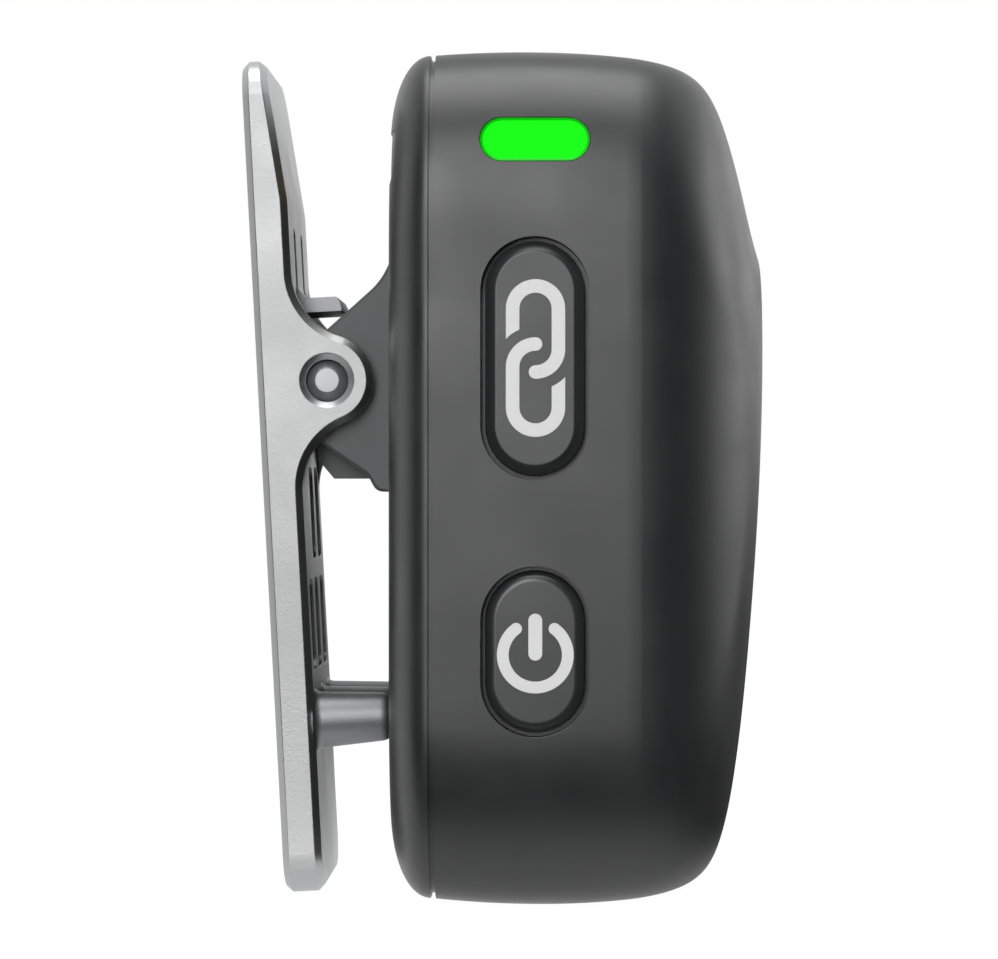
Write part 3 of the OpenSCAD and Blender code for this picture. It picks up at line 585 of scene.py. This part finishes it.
# Front shell: inside, back through the groove, then the outer skin to the front. Rings
# that shrink towards the middle close the nose, and easing takes the seam out of it
straight = BODY_T - ROUND_X
around_front = np.radians(np.linspace(0, 90, 56))
nose = shell_rings(straight + ROUND_X * np.sin(around_front), tall=TALL)
hub = nose[-1].mean(0)
nose_cap = hub + (nose[-1] - hub) * np.linspace(0.86, 0.08, 7)[:, None, None]
outer = np.concatenate([
    shell_rings(np.linspace(COVER_T + GAP_W, straight, 16)[:-1], tall=TALL),
    eased(np.concatenate([nose, nose_cap]), 18)])
groove = rim_rings([COVER_T, COVER_T + GAP_W], [GAP_D, GAP_D], [CORNER_R - GAP_D] * 2,
                   TALL)
around_inside = np.radians(np.linspace(90, 0, 20))
inner = shell_rings(straight + (ROUND_X - WALL) * np.sin(around_inside), WALL)
inner_back = shell_rings(np.linspace(straight, COVER_T, 5)[1:], WALL)
housing_front = loft("housing_front", np.concatenate([inner, inner_back, groove, outer]))
front_skin = loft("front_skin", outer, "none")

# Openings: both buttons, the light, the two round ones in the top, and the port
inner_y = SIDE_Y + WALL
cutters = [loft("cut", slot_rings([SIDE_Y - 1, inner_y + 1], [0, 0], ROW_X, z, wide, tall),
                "flat")
           for z, wide, tall in ((LINK_Z, KEY_W, LINK_LEN), (POWER_Z, KEY_W, POWER_LEN),
                                 (LAMP_Z, LAMP_LEN, LAMP_H))]
top_hole = np.array([[TOP_HOLE_R, RIM_Z - TOP_HOLE_DEEP], [TOP_HOLE_R, BODY_H + 1]])
cutters += [turned("cut", top_hole, (TOP_X, y, 0)) for y in (-MIC_Y, MIC_Y)]
port = slot_rings([-1, PORT_DEEP], [0, 0], PORT_X, 0, PORT_THICK, PORT_WIDE)
cutters.append(loft("cut", port[..., [0, 2, 1]], "flat"))
carve(housing_front, cutters)

# Screw bosses from the main board to the wall, cut off just inside it
BOARD_U, BOSS_END_U, UPPER_BOSS = 8.4, 18.2, 17.2
BOSS_BORE, BOSS_R, SCREW_R = 0.57, 1.5, 1.0
boss_ring = np.array([[BOSS_BORE, BACK_X + BOARD_U], [BOSS_R, BACK_X + BOARD_U],
                      [BOSS_R, BACK_X + BOSS_END_U], [BOSS_BORE, BACK_X + BOSS_END_U]])
_, near_y, low_z = corner_pair("board_screws")[0] + SCREW_R
_, far_y, high_z = corner_pair("board_screws")[1] - SCREW_R
bosses = [turned("boss", boss_ring, (0, y, z), "x", 32, "loop")
          for y, z in ((near_y, low_z), (near_y, RIM_Z - UPPER_BOSS), (far_y, low_z),
                       (far_y, high_z))]
INTO_WALL = 1.03
core = np.concatenate([inner, inner_back])
core_middle = core.mean((0, 1))
inside = [loft("inside", core_middle + (core - core_middle) * INTO_WALL) for _ in bosses]
bosses = [carve(boss, [limit], "INTERSECT") for boss, limit in zip(bosses, inside)]
finish(gather(housing_front, bosses), "housing", [shell_finish],
       ["front_shell"], edge=0.07, crisp=35, skin=front_skin)

# Rear cover: a flat back whose edge rounds over a quarter ellipse, COVER_SWEEP wide, to
# the groove, and behind the groove a tongue that fits inside the front shell
COVER_SWEEP, SWEEP_UP, SWEEP_CORNER = 4.6, 0.95, 0.45
tilt = np.radians(np.linspace(0, 90, 22))
cover_u = COVER_T * (1 - np.cos(tilt))
cover_c = COVER_SWEEP * (1 - np.sin(tilt))
low_rim, high_rim = low_at(np.array([COVER_T])), top_at(np.array([COVER_T]))
cover_skin = frames(cover_u, HALF_W - cover_c, low_rim + SWEEP_UP * cover_c,
                    high_rim - SWEEP_UP * cover_c, CORNER_R - SWEEP_CORNER * cover_c, TALL)
middle = cover_skin[0].mean(0)
back_face = middle + (cover_skin[0] - middle) * np.linspace(0.1, 0.9, 5)[:, None, None]
TONGUE_OUT, TONGUE_IN, TONGUE_LONG, COVER_FLOOR = 1.45, 2.15, 0.85, 1.3
tongue = rim_rings([COVER_T, COVER_T + TONGUE_LONG, COVER_T + TONGUE_LONG, COVER_FLOOR],
                   [TONGUE_OUT, TONGUE_OUT, TONGUE_IN, TONGUE_IN], [3.93, 3.93, 3.51, 3.51])
housing_back = loft("housing_back", np.concatenate([back_face, cover_skin, tongue]))
back_skin = loft("back_skin", np.concatenate([back_face, cover_skin]), "none")


def strip_block(inset):
    """Block of the contact strip's outline, set in, through the back face."""
    block = slot_rings([BACK_X - 1, BACK_X + 0.6], [inset, inset], 0, STRIP_Z, STRIP_WIDE,
                       STRIP_TALL)
    return loft("block", block[..., [1, 0, 2]], "flat")


def drills(r, x0, places, steps):
    """Round bars along x, one through each (y, z) place."""
    return [turned("drill", np.array([[r, x0], [r, BACK_X + 2]]), (0, y, z), "x", steps)
            for y, z in places]


contacts = [(y, STRIP_Z) for y in CONTACT_Y]
bracket_holes = [(y, PIN_Z + dz) for y in (-4.6, 4.6) for dz in (-3.2, 3.2)]
carve(housing_back, [strip_block(0)] + drills(0.87, BACK_X, contacts, 32)
      + drills(0.62, BACK_X - 1, bracket_holes, 24))
finish(housing_back, "housing", [shell_finish], ["back_cover"],
       edge=0.06, crisp=35, skin=back_skin)

# The contact strip has the cover's own skin, STRIP_SUNK below it
strip = loft("contact_strip", np.concatenate([back_face, cover_skin]) + [STRIP_SUNK, 0, 0])
carve(strip, [strip_block(0.02)], "INTERSECT")
carve(strip, drills(0.86, BACK_X - 1, contacts, 32))
finish(strip, "housing", [strip_finish], ["contact_plate"], edge=0.02)


# Light -----------------------------------------------------------------------------


def side_face(x, z):
    """Y of the button side: level, then the corner's ellipse near top and bottom."""
    u, climb = x - BACK_X, CORNER_R + TALL
    over = np.maximum(0, np.maximum(z - top_at(u), low_at(u) - z) + climb) / climb
    return SIDE_Y + CORNER_R * (1 - np.sqrt(1 - over * over))


def on_side_face(rings, sunk):
    """Rings whose y levels are replaced by depths behind the button side."""
    rings = rings.copy()
    rings[..., 1] = side_face(rings[..., 0], rings[..., 2]) + np.asarray(sunk)[:, None]
    return rings


# Lens: from behind the wall up to its rim, down the rim's slope and over a flat face
lens_inset = [0.03, 0.03, 0.05, 0.17, 0.22, 0.34, 0.9]
lens_sunk = [1.0, 0.10, 0.07, 0.19, 0.2, 0.19, 0.17]
lens_rings = slot_rings(np.zeros(7), lens_inset, ROW_X, LAMP_Z, LAMP_LEN, LAMP_H)
lens_rings = on_side_face(lens_rings, lens_sunk)
lens_back = lens_rings[:1].copy()
lens_back[..., 1] = inner_y + 0.3
lamp_lens = loft("lamp_lens", np.concatenate([lens_back, lens_rings]))


def slab(name, z, wide, tall, y0, y1):
    """Block in the row of buttons and light, between two y levels."""
    outline = np.array([[-wide, -tall], [wide, -tall], [wide, tall], [-wide, tall]]) / 2
    return loft(name, across(outline + [ROW_X, z], [y0, y1]), "flat")


# A lug behind the wall holds the lens, and a guide leads to the chip on the board
guide_end = corner_pair("led_window")[1][1]
carve(lamp_lens, [slab("lug", LAMP_Z - 0.8, 6.6, 1.5, inner_y + 0.14, inner_y + 0.5),
                  slab("guide", LAMP_Z, 3.2, 1.5, inner_y + 0.4, guide_end)], "UNION")


def lens_sort(centre, normal):
    """The outer face glows (0); its sloping rim and its body are plain green that hardly
    glows, a painted shade (1).
    """
    lit = (normal[:, 1] < -0.9) & (centre[:, 1] < SIDE_Y + 1.3)
    return 1 - lit


# The rim's finish hardly glows: a painted shade beside the glowing face
finish(lamp_lens, "housing", [lamp_finish, shaded_lens_rim], ["led_window"],
       sort=lens_sort)


# Buttons and their symbols ---------------------------------------------------------


def button(name, z, length, bevel_wide, bevel_deep, soft):
    """Side button: slot outline carried from the flange behind the wall to the face,
    with a bevel whose two edges are rounded by soft."""
    flange, face_y = -0.74, SIDE_Y + 0.02
    profile = rounded([[0.6, inner_y + 0.85], [flange, inner_y + 0.55],
                       [flange, inner_y + 0.05], [0, inner_y + 0.05],
                       [0, SIDE_Y + bevel_deep], [bevel_wide, face_y], [2.3, face_y]],
                      [0.01, 0.05, 0.03, soft, soft], 7)
    rings = slot_rings(profile[:, 1], profile[:, 0], ROW_X, z, KEY_W - 2 * KEY_GAP,
                       length - 2 * KEY_GAP)
    return loft(name, rings)


finish(button("link_cap", LINK_Z, LINK_LEN, 0.48, 0.40, 0.09), "link_key",
       [key_finish], ["link_button"])
finish(button("power_cap", POWER_Z, POWER_LEN, 0.36, 0.34, 0.2), "power_key",
       [key_finish], ["power_button"])

# The symbols' faces are flush with the side, their backs just under the buttons' faces
ICON_FACE, ICON_BACK = SIDE_Y, SIDE_Y + 0.1


def stroke(path, width, across_count=15, along=120, ends=(True, True), starts=None):
    """Grid of a line of even width along a path given by dense points.

    Each line of the grid follows the path at its own share q of the half width. Where
    an end is round, the line runs on beyond it by the half width times sqrt(1 - q^2).
    starts gives the distance along the path at which the line of each share begins.
    """
    step = np.r_[0, np.cumsum(np.linalg.norm(np.diff(path, axis=0), axis=1))]
    heading = np.gradient(path, step, axis=0)
    heading /= np.linalg.norm(heading, axis=1, keepdims=True)
    q = np.sin(np.radians(np.linspace(-90, 90, across_count)))
    reach = width / 2 * np.cos(np.radians(np.linspace(-90, 90, across_count)))
    first = starts(q) if starts else -reach * ends[0]
    last = step[-1] + reach * ends[1]
    s = first + (last - first) * np.linspace(0, 1, along)[:, None]
    base = [np.interp(s, step, path[:, k]) for k in (0, 1)]
    run = [np.interp(s, step, heading[:, k]) for k in (0, 1)]
    over = s - np.clip(s, 0, step[-1])
    return np.stack([base[0] + run[0] * over - run[1] * q * width / 2,
                     base[1] + run[1] * over + run[0] * q * width / 2], -1)


# Link symbol: a short leg, the bend over the top, a long leg and a hook, and then the
# other half of the chain, which is the same turned by half a turn
LINK_R, LINK_STROKE, BEND_Z, HOOK_Z, LEG_Z, CUT_R = 1.147, 0.676, 2.464, 0.446, 0.5, 2.038
half_link = np.vstack([[[-LINK_R, LEG_Z]], arc(0, BEND_Z, LINK_R, 180, 0, 60),
                       arc(0, HOOK_Z, LINK_R, 0, -90, 40)])


def cut_end(q):
    """Where the short leg starts: on a circle round the other half's hook."""
    x = LINK_R + q * LINK_STROKE / 2
    return -HOOK_Z + np.sqrt(CUT_R ** 2 - x * x) - LEG_Z


link_line = stroke(half_link, LINK_STROKE, ends=(False, True), starts=cut_end)
halves = [plate("link_symbol", np.array([ROW_X + 0.033, LINK_Z + 0.008]) + side * link_line,
                ICON_FACE, ICON_BACK) for side in (1, -1)]
finish(gather(halves[0], halves[1:]), "link_key", [icon_finish])

# Power symbol: a ring open at the top, and a bar in the opening
RING_R, RING_STROKE, OPEN_HALF = 1.628, 0.588, 36.2
BAR_Z, BAR_HALF, BAR_STROKE = 0.896, 0.83, 0.692
ring = stroke(arc(0, 0, RING_R, 90 - OPEN_HALF, -270 + OPEN_HALF, 160), RING_STROKE,
              along=160)
bar = stroke(np.array([[0, BAR_Z - BAR_HALF], [0, BAR_Z + BAR_HALF]]), BAR_STROKE, along=12)
marks = [plate("power_symbol", np.array([ROW_X + 0.022, POWER_Z - 0.143]) + grid, ICON_FACE,
               ICON_BACK) for grid in (ring, bar)]
finish(gather(marks[0], marks[1:]), "power_key", [icon_finish])


# Clip lever ------------------------------------------------------------------------


def on_lever(piece):
    """Carries a piece from the lever's own axes, pin at the origin, to its place."""
    c, s = math.cos(LEAN), math.sin(LEAN)
    piece.data.transform(Matrix(((c, 0, -s, PIN_X), (0, 1, 0, 0), (s, 0, c, PIN_Z),
                                 (0, 0, 0, 1))))
    return piece


def inner_face(z):
    """The lever's inner face: level up to the knee, then tapering to the tip."""
    return -LEVER_IN - TAPER * np.clip((z - KNEE_Z) / TAPER_LONG, 0, 1.1)


def front_outline(inset):
    """The lever seen from the front, from the middle of its foot up its right side to
    the middle of its tip, then down its left side."""
    r, side = LEVER_CORNER - inset, LEVER_HALF - inset
    levels = np.r_[np.linspace(-LEVER_DOWN + LEVER_CORNER, KNEE_Z, 30),
                   np.linspace(KNEE_Z, 13.1, 6)[1:]]
    right = np.vstack([
        [[0, -LEVER_DOWN + inset]],
        arc(side - r, -LEVER_DOWN + LEVER_CORNER, r, -90, 0, 17)[:-1],
        np.c_[np.full(len(levels), side), levels],
        arc(side - r, LEVER_UP - LEVER_CORNER, r, 0, 90, 17)[1:],
        [[0, LEVER_UP - inset]]])
    return np.vstack([right, right[-2:0:-1] * [-1, 1]])


def lever_ring(inset, face, depth, seam=False):
    """One ring of the lever plate: the front outline at a depth behind its outer face
    or its inner face; a seam ring lies folded on the middle line."""
    outline = front_outline(inset)
    z = outline[:, 1]
    x = -LEVER_OUT + depth + 0 * z if face == "outer" else inner_face(z) - depth
    return np.c_[x, outline[:, 0] * (0 if seam else 1), z]


lever = loft("lever_casting", np.array([
    lever_ring(BEVEL, "outer", 0, True), lever_ring(BEVEL, "outer", 0),
    lever_ring(0, "outer", BEVEL), lever_ring(0, "inner", BEVEL),
    lever_ring(BEVEL, "inner", 0), lever_ring(BEVEL, "inner", 0, True)]), "none")

# Ears: a disc round the pin, and the fillets that join it to the plate
EAR_R, FILLET_R, EAR_THICK = 2.42, 3.65, 1.25
INTO_PLATE = -2.6
fillet_x = FILLET_R - LEVER_IN
fillet_z = math.sqrt((EAR_R + FILLET_R) ** 2 - fillet_x ** 2)
fillet_a = math.degrees(math.atan2(fillet_z, fillet_x))


def ear_outline(inset):
    """Ear seen from the side: a circle round the pin, run into the plate by two fillets."""
    r = FILLET_R + inset
    return np.vstack([
        [[INTO_PLATE, -fillet_z]], arc(fillet_x, -fillet_z, r, 180, 180 - fillet_a, 20),
        arc(0, 0, EAR_R - inset, -fillet_a, fillet_a, 40)[1:-1],
        arc(fillet_x, fillet_z, r, 180 + fillet_a, 180, 20), [[INTO_PLATE, fillet_z]]])


ears = []
for side in (-1, 1):
    shapes = np.stack([ear_outline(BEVEL), ear_outline(0), ear_outline(0)])
    levels = side * np.array([LEVER_HALF, LEVER_HALF - BEVEL, LEVER_HALF - EAR_THICK])
    ears.append(loft("ear", across(shapes, levels), "flat"))

# Teeth near the foot reach to just short of the cover, whose back is STAND from the pin
STAND = 3.42
TOOTH_DOWN, TOOTH_GAP = 17.8, 0.06
tooth_tip = (STAND - TOOTH_GAP - TOOTH_DOWN * math.sin(LEAN)) / math.cos(LEAN)
tooth_shape = rounded([[0.02, -LEVER_IN - 0.4], [1.3, -LEVER_IN - 0.4],
                       [1.64, -LEVER_IN - 0.02], [1.5, -LEVER_IN + 0.06],
                       [1.24, tooth_tip], [0.02, tooth_tip]],
                      [0.02, 0.02, 0.32, 0.6], 9)
teeth = [turned("tooth", tooth_shape, (0, y, -TOOTH_DOWN), "x", 64) for y in (-5.3, 0, 5.3)]

# Tab over the pin that the spring leans on, run into the plate by a fillet
TAB_LOW, TAB_HIGH, TAB_END, TAB_FILLET = 3.75, 4.55, 0.78, 0.8
tab_outline = np.vstack([
    [[-LEVER_IN - 0.4, TAB_LOW]],
    rounded([[0, TAB_LOW], [TAB_END, TAB_LOW], [TAB_END, TAB_LOW + 0.3],
             [TAB_END - 0.2, TAB_HIGH], [0, TAB_HIGH]], [0.08, 0.2, 0.2], 6)[1:-1],
    arc(-LEVER_IN + TAB_FILLET, TAB_HIGH + TAB_FILLET, TAB_FILLET, 270, 180, 10),
    [[-LEVER_IN - 0.4, TAB_HIGH + TAB_FILLET]]])
tab = loft("tab", across(tab_outline, [-3.3, 3.3]), "flat")
carve(lever, ears + teeth + [tab], "UNION")


def pocket(y, z0, z1, wide=2.7, r=0.6):
    """Weight-saving pocket in the inner face, with rounded corners."""
    left, right = y - wide / 2, y + wide / 2
    outline = rounded_loop([[left, z0], [right, z0], [right, z1], [left, z1]], r, 8)
    x = np.array([-LEVER_IN - 0.9, -LEVER_IN + 1.0])[:, None] * np.ones(len(outline))
    rings = np.stack([x, np.broadcast_to(outline[:, 0], x.shape),
                      np.broadcast_to(outline[:, 1], x.shape)], -1)
    return loft("pocket", rings, "flat")


# Pockets below the pin, slots beside the tab, room for the spring, and the bore, which
# is countersunk on both sides
PIN_BORE, SINK_R, SINK_DEEP = 1.105, 1.43, 0.3
cutters = [pocket(y, -9.35, -4.45) for y in (0, 4)]
cutters += [pocket(y, -15.2, -10.4) for y in (-4, 0, 4)]
cutters += [pocket(y, TAB_HIGH + 0.1, 8.3, 1.2, 0.5) for y in (-2.6, 2.6)]
cutters.append(turned("scoop", np.array([[2.05, -3.6], [2.05, 3.6]]), (0, 0, 0), "y"))
half_bore = np.array([[SINK_R + 0.02, LEVER_HALF + 0.2], [SINK_R, LEVER_HALF],
                      [PIN_BORE, LEVER_HALF - SINK_DEEP]])
bore = np.vstack([half_bore * [1, -1], half_bore[::-1]])
cutters.append(turned("bore", bore, (0, 0, 0), "y", 96))
carve(lever, cutters)
on_lever(merge_flats(lever))


def lever_sort(centre, normal):
    """Blasted side faces (0), dressed bevels and broad faces (1), raw teeth and tab (2)."""
    c, s = math.cos(LEAN), math.sin(LEAN)
    x = (centre[:, 0] - PIN_X) * c + (centre[:, 2] - PIN_Z) * s
    z = -(centre[:, 0] - PIN_X) * s + (centre[:, 2] - PIN_Z) * c
    side = (np.abs(normal[:, 1]) > 0.9) & (np.abs(centre[:, 1]) > LEVER_HALF - 0.2)
    proud = x > -LEVER_IN + 0.05
    tooth, tab_part = z < -15, (z > 3) & (np.abs(centre[:, 1]) < 4)
    return np.where(proud & (tooth | tab_part), 2, np.where(side, 0, 1))


finish(lever, "lever", [blasted_zinc, dressed_zinc, raw_zinc], ["clip_lever"],
       edge=0.045, crisp=28, sort=lever_sort, clamp=False)

# Pin with bevelled ends
PIN_R, PIN_HALF, TIP_LONG, TIP_DEEP = 1.075, 6.75, 0.42, 0.45
half_pin = np.array([[PIN_R, PIN_HALF - TIP_LONG], [PIN_R - TIP_DEEP, PIN_HALF],
                     [0.02, PIN_HALF]])
pin_shape = rounded(np.vstack([half_pin[::-1] * [1, -1], half_pin]), 0.03, 3)
finish(turned("hinge_pin", pin_shape, (PIN_X, 0, PIN_Z), "y", 96), "housing",
       [pin_finish], ["clip_pin"])


# Bracket and spring ----------------------------------------------------------------

# Cheek, in (x, z) from the pin: its upper edge slopes up from SHOULDER_Z and runs into
# the cover by an arc, and from the shoulder it goes round the pin and down to the cover
SLOPE, SHOULDER_Z, RUN_R, SLOPE_X = math.radians(41.9), 2.8, 3.7, 1.2
rise = STAND * math.tan(SLOPE) + SHOULDER_Z
run = RUN_R * math.tan(math.radians(24.05))
cheek_corners = np.array([
    [SLOPE_X, SHOULDER_Z + SLOPE_X * math.tan(SLOPE)], [0, SHOULDER_Z], [-0.65, 2.2],
    [-1.35, 0.7], [-1.45, -0.6], [-1.1, -2.6], [-0.43, -3.26], [STAND - 1.35, -4.95],
    [STAND - 0.9, -5.83], [STAND, -5.83]])
cheek_outline = np.vstack([
    arc(STAND - RUN_R, rise + run, RUN_R, 0, -48.1, 16),
    rounded(cheek_corners, [0.3, 0.5, 0.6, 0.6, 0.5, 0.2, 0.25, 0.4], 6)])


def in_clip(name, outline, y_levels):
    """A solid across the clip from outlines about the pin, anticlockwise."""
    return loft(name, across(outline, y_levels) + [PIN_X, 0, PIN_Z], "flat")


def edged(outline, inset):
    """The outline set in, less and less over the last half millimetre to the cover."""
    share = np.clip((STAND - outline[:, :1]) / 0.5, 0, 1)
    return outline + share * (shrunk(outline, inset) - outline)


CHEEK_OUT, CHEEK_IN, CHEEK_BEVEL, BASE_THICK = 5.6, 3.6, 0.16, 0.8
cheek_bevelled = edged(cheek_outline, CHEEK_BEVEL)
shapes = np.stack([cheek_bevelled, cheek_outline, cheek_outline, cheek_bevelled])
levels = np.array([CHEEK_OUT, CHEEK_OUT - CHEEK_BEVEL, CHEEK_IN + CHEEK_BEVEL, CHEEK_IN])
cheeks = [in_clip("bracket_body", shapes, side * levels) for side in (-1, 1)]
# The base on the cover and, below the pin, the web between the cheeks
web_outline = np.array([
    [STAND, -5.14], [STAND, 5.4], [STAND - BASE_THICK, 4.6], [STAND - BASE_THICK, -2.35],
    [-0.2, -2.35], [-0.7, -2.9], [-0.7, -4.1], [0.19, -5.14]])
bracket = carve(cheeks[0], [cheeks[1], in_clip("web", web_outline, [-3.7, 3.7])], "UNION")
carve(bracket, [turned("bore", np.array([[PIN_BORE, -8], [PIN_BORE, 8]]),
                       (PIN_X, 0, PIN_Z), "y", 64)])
finish(bracket, "housing", [bracket_finish], ["clip_bracket"], edge=0.05,
       crisp=35)

# Torsion spring: a coil on the pin, one leg under the lever and one on the base
WIRE_R, COIL_R, TURNS, COIL_HALF = 0.25, 1.5, 8.5, 3.05
wind = np.radians(np.linspace(0, 360 * TURNS, int(TURNS * 32) + 1))
coil = np.c_[-COIL_R * np.cos(wind), COIL_HALF * (2 * wind / wind[-1] - 1),
             -COIL_R * np.sin(wind)]
lever_leg = np.array([-LEVER_IN + WIRE_R + 0.1, -COIL_HALF, 3.3])
frame_leg = np.array([STAND - BASE_THICK - WIRE_R - 0.04, COIL_HALF, 3.4])
share = np.linspace(0, 1, 10)[:, None]
wire = np.vstack([lever_leg + (coil[0] - lever_leg) * share[:-1], coil,
                  coil[-1] + (frame_leg - coil[-1]) * share[1:]])
heading = np.gradient(wire, axis=0)
heading /= np.linalg.norm(heading, axis=1, keepdims=True)
out = np.cross(heading, [0.0, 1.0, 0.0])
out /= np.linalg.norm(out, axis=1, keepdims=True)
up = np.cross(heading, out)
a = np.radians(np.arange(12) * 30)[None, :, None]
tube = wire[:, None] + WIRE_R * (np.cos(a) * out[:, None] + np.sin(a) * up[:, None])
finish(loft("spring_wire", tube + [PIN_X, 0, PIN_Z]), "housing",
       [spring_finish], ["clip_spring"])


# Floor, light and camera -----------------------------------------------------------

# The floor's half width, and how far below the part it lies, in metres
FLOOR_HALF, FLOOR_BELOW = 3.0, 0.00005
corners = [(x * FLOOR_HALF, y * FLOOR_HALF, 0)
           for x, y in ((-1, -1), (1, -1), (1, 1), (-1, 1))]
floor_mesh = bpy.data.meshes.new("floor")
floor_mesh.from_pydata(corners, [], [(0, 1, 2, 3)])
floor = bpy.data.objects.new("floor", floor_mesh)
bpy.context.scene.collection.objects.link(floor)
floor.location.z = -FLOOR_BELOW
# White studio paper, seen nearly burnt out with a soft contact shadow. In the part's gloss
# it shows a painted glow under the part and behind it, but neither in front nor to the
# right, so the lower curves show a narrow painted sheen that fades to dark
floor_material = bpy.data.materials.new("pale_studio_floor")
floor_material.use_nodes = True
tree = floor_material.node_tree
tree.nodes.clear()
path = add(tree, "LightPath")
paper = add(tree, "BsdfDiffuse", {"Color": linear("#e8e8e8")})
seen_paper = add(tree, "BsdfDiffuse", {"Color": linear("#505050")})
glow = add(tree, "Emission", {"Color": linear("#ffffff"), "Strength": 0.985})
shown = add(tree, "AddShader", {0: seen_paper.outputs[0], 1: glow.outputs[0]})
place = add(tree, "SeparateXYZ", {0: add(tree, "TexCoord").outputs["Object"]})
near = add(tree, "MapRange", {"Value": place.outputs["Y"], "From Min": -0.024,
                              "From Max": -0.013, "To Min": 0.01},
           interpolation_type="SMOOTHSTEP")
beside = add(tree, "MapRange", {"Value": place.outputs["X"], "From Min": 0.006,
                                "From Max": 0.020, "To Min": 1.0, "To Max": 0.05},
             interpolation_type="SMOOTHSTEP")
near = add(tree, "Math", {0: near.outputs[0], 1: beside.outputs[0]}, operation="MULTIPLY")
# Painted glow on the floor near the part, seen only in the part's gloss
sheen = add(tree, "Emission", {"Color": linear("#ffffff"), "Strength": near.outputs[0]})
unseen = add(tree, "MixShader", {"Fac": path.outputs["Is Glossy Ray"], 1: paper.outputs[0],
                                 2: sheen.outputs[0]})
mixed = add(tree, "MixShader", {"Fac": path.outputs["Is Camera Ray"], 1: unseen.outputs[0],
                                2: shown.outputs[0]})
add(tree, "OutputMaterial", {"Surface": mixed.outputs[0]})
floor_mesh.materials.append(floor_material)

# White backdrop. The gloss sees it bright behind the part and dark towards the camera, so
# the rounded ends get a rim of light; its soft light is low
world = bpy.data.worlds.new("studio")
bpy.context.scene.world = world
world.use_nodes = True
tree = world.node_tree
tree.nodes.clear()
path = add(tree, "LightPath")
toward = add(tree, "SeparateXYZ", {0: add(tree, "TexCoord").outputs["Generated"]})
behind = add(tree, "MapRange", {"Value": toward.outputs["Y"], "From Min": -0.5,
                                "From Max": 0.15, "To Min": 0.02},
             interpolation_type="SMOOTHSTEP")
mirrored = add(tree, "Math", {0: path.outputs["Is Glossy Ray"],
                              1: path.outputs["Is Transmission Ray"]}, operation="MAXIMUM")
level = add(tree, "Mix", {"Factor": mirrored.outputs[0], "A": 0.18, "B": behind.outputs[0]})
level = add(tree, "Math", {0: path.outputs["Is Camera Ray"], 1: level.outputs[0]},
            operation="MAXIMUM")
sky = add(tree, "Background", {"Color": linear("#ffffff"), "Strength": level.outputs[0]})
add(tree, "OutputWorld", {"Surface": sky.outputs[0]})


AIM = Vector((0, 0, 22))


def lamp(name, place, wide, high, power):
    """A soft box at a place in millimetres, facing the part; power in watts."""
    light = bpy.data.lights.new(name, "AREA")
    light.shape, light.energy = "RECTANGLE", power
    light.size, light.size_y = wide * MM, high * MM
    holder = bpy.data.objects.new(name, light)
    bpy.context.scene.collection.objects.link(holder)
    holder.location = Vector(place) * MM
    holder.rotation_euler = (AIM - Vector(place)).to_track_quat("-Z", "Y").to_euler()


lamp("key_light", (-68, -405, 155), 150, 340, 1.2)
lamp("top_light", (0, -80, 380), 260, 260, 0.9)
lamp("rim_light", (380, 160, 60), 260, 260, 0.28)

# Camera, in pixels: focal length, width, and how far right of the middle and below it
# the direction square to the button side falls; and the sensor's width in millimetres
FOCAL, WIDE, SQUARE_RIGHT, SQUARE_DOWN = 3715, 998, 71, 0.5
SENSOR = 36.0
lens = bpy.data.cameras.new("camera")
lens.sensor_width = SENSOR
lens.lens = SENSOR * FOCAL / WIDE
lens.clip_start, lens.clip_end = 0.01, 20
camera = bpy.data.objects.new("camera", lens)
bpy.context.scene.collection.objects.link(camera)
camera.location = Vector((3.543, -201, 21.8)) * MM
camera.rotation_euler = (math.radians(90) + math.atan(SQUARE_DOWN / FOCAL), 0,
                         math.atan(SQUARE_RIGHT / FOCAL))
bpy.context.scene.camera = camera

bpy.context.scene.view_settings.view_transform = "Standard"

bpy.context.view_layer.update()
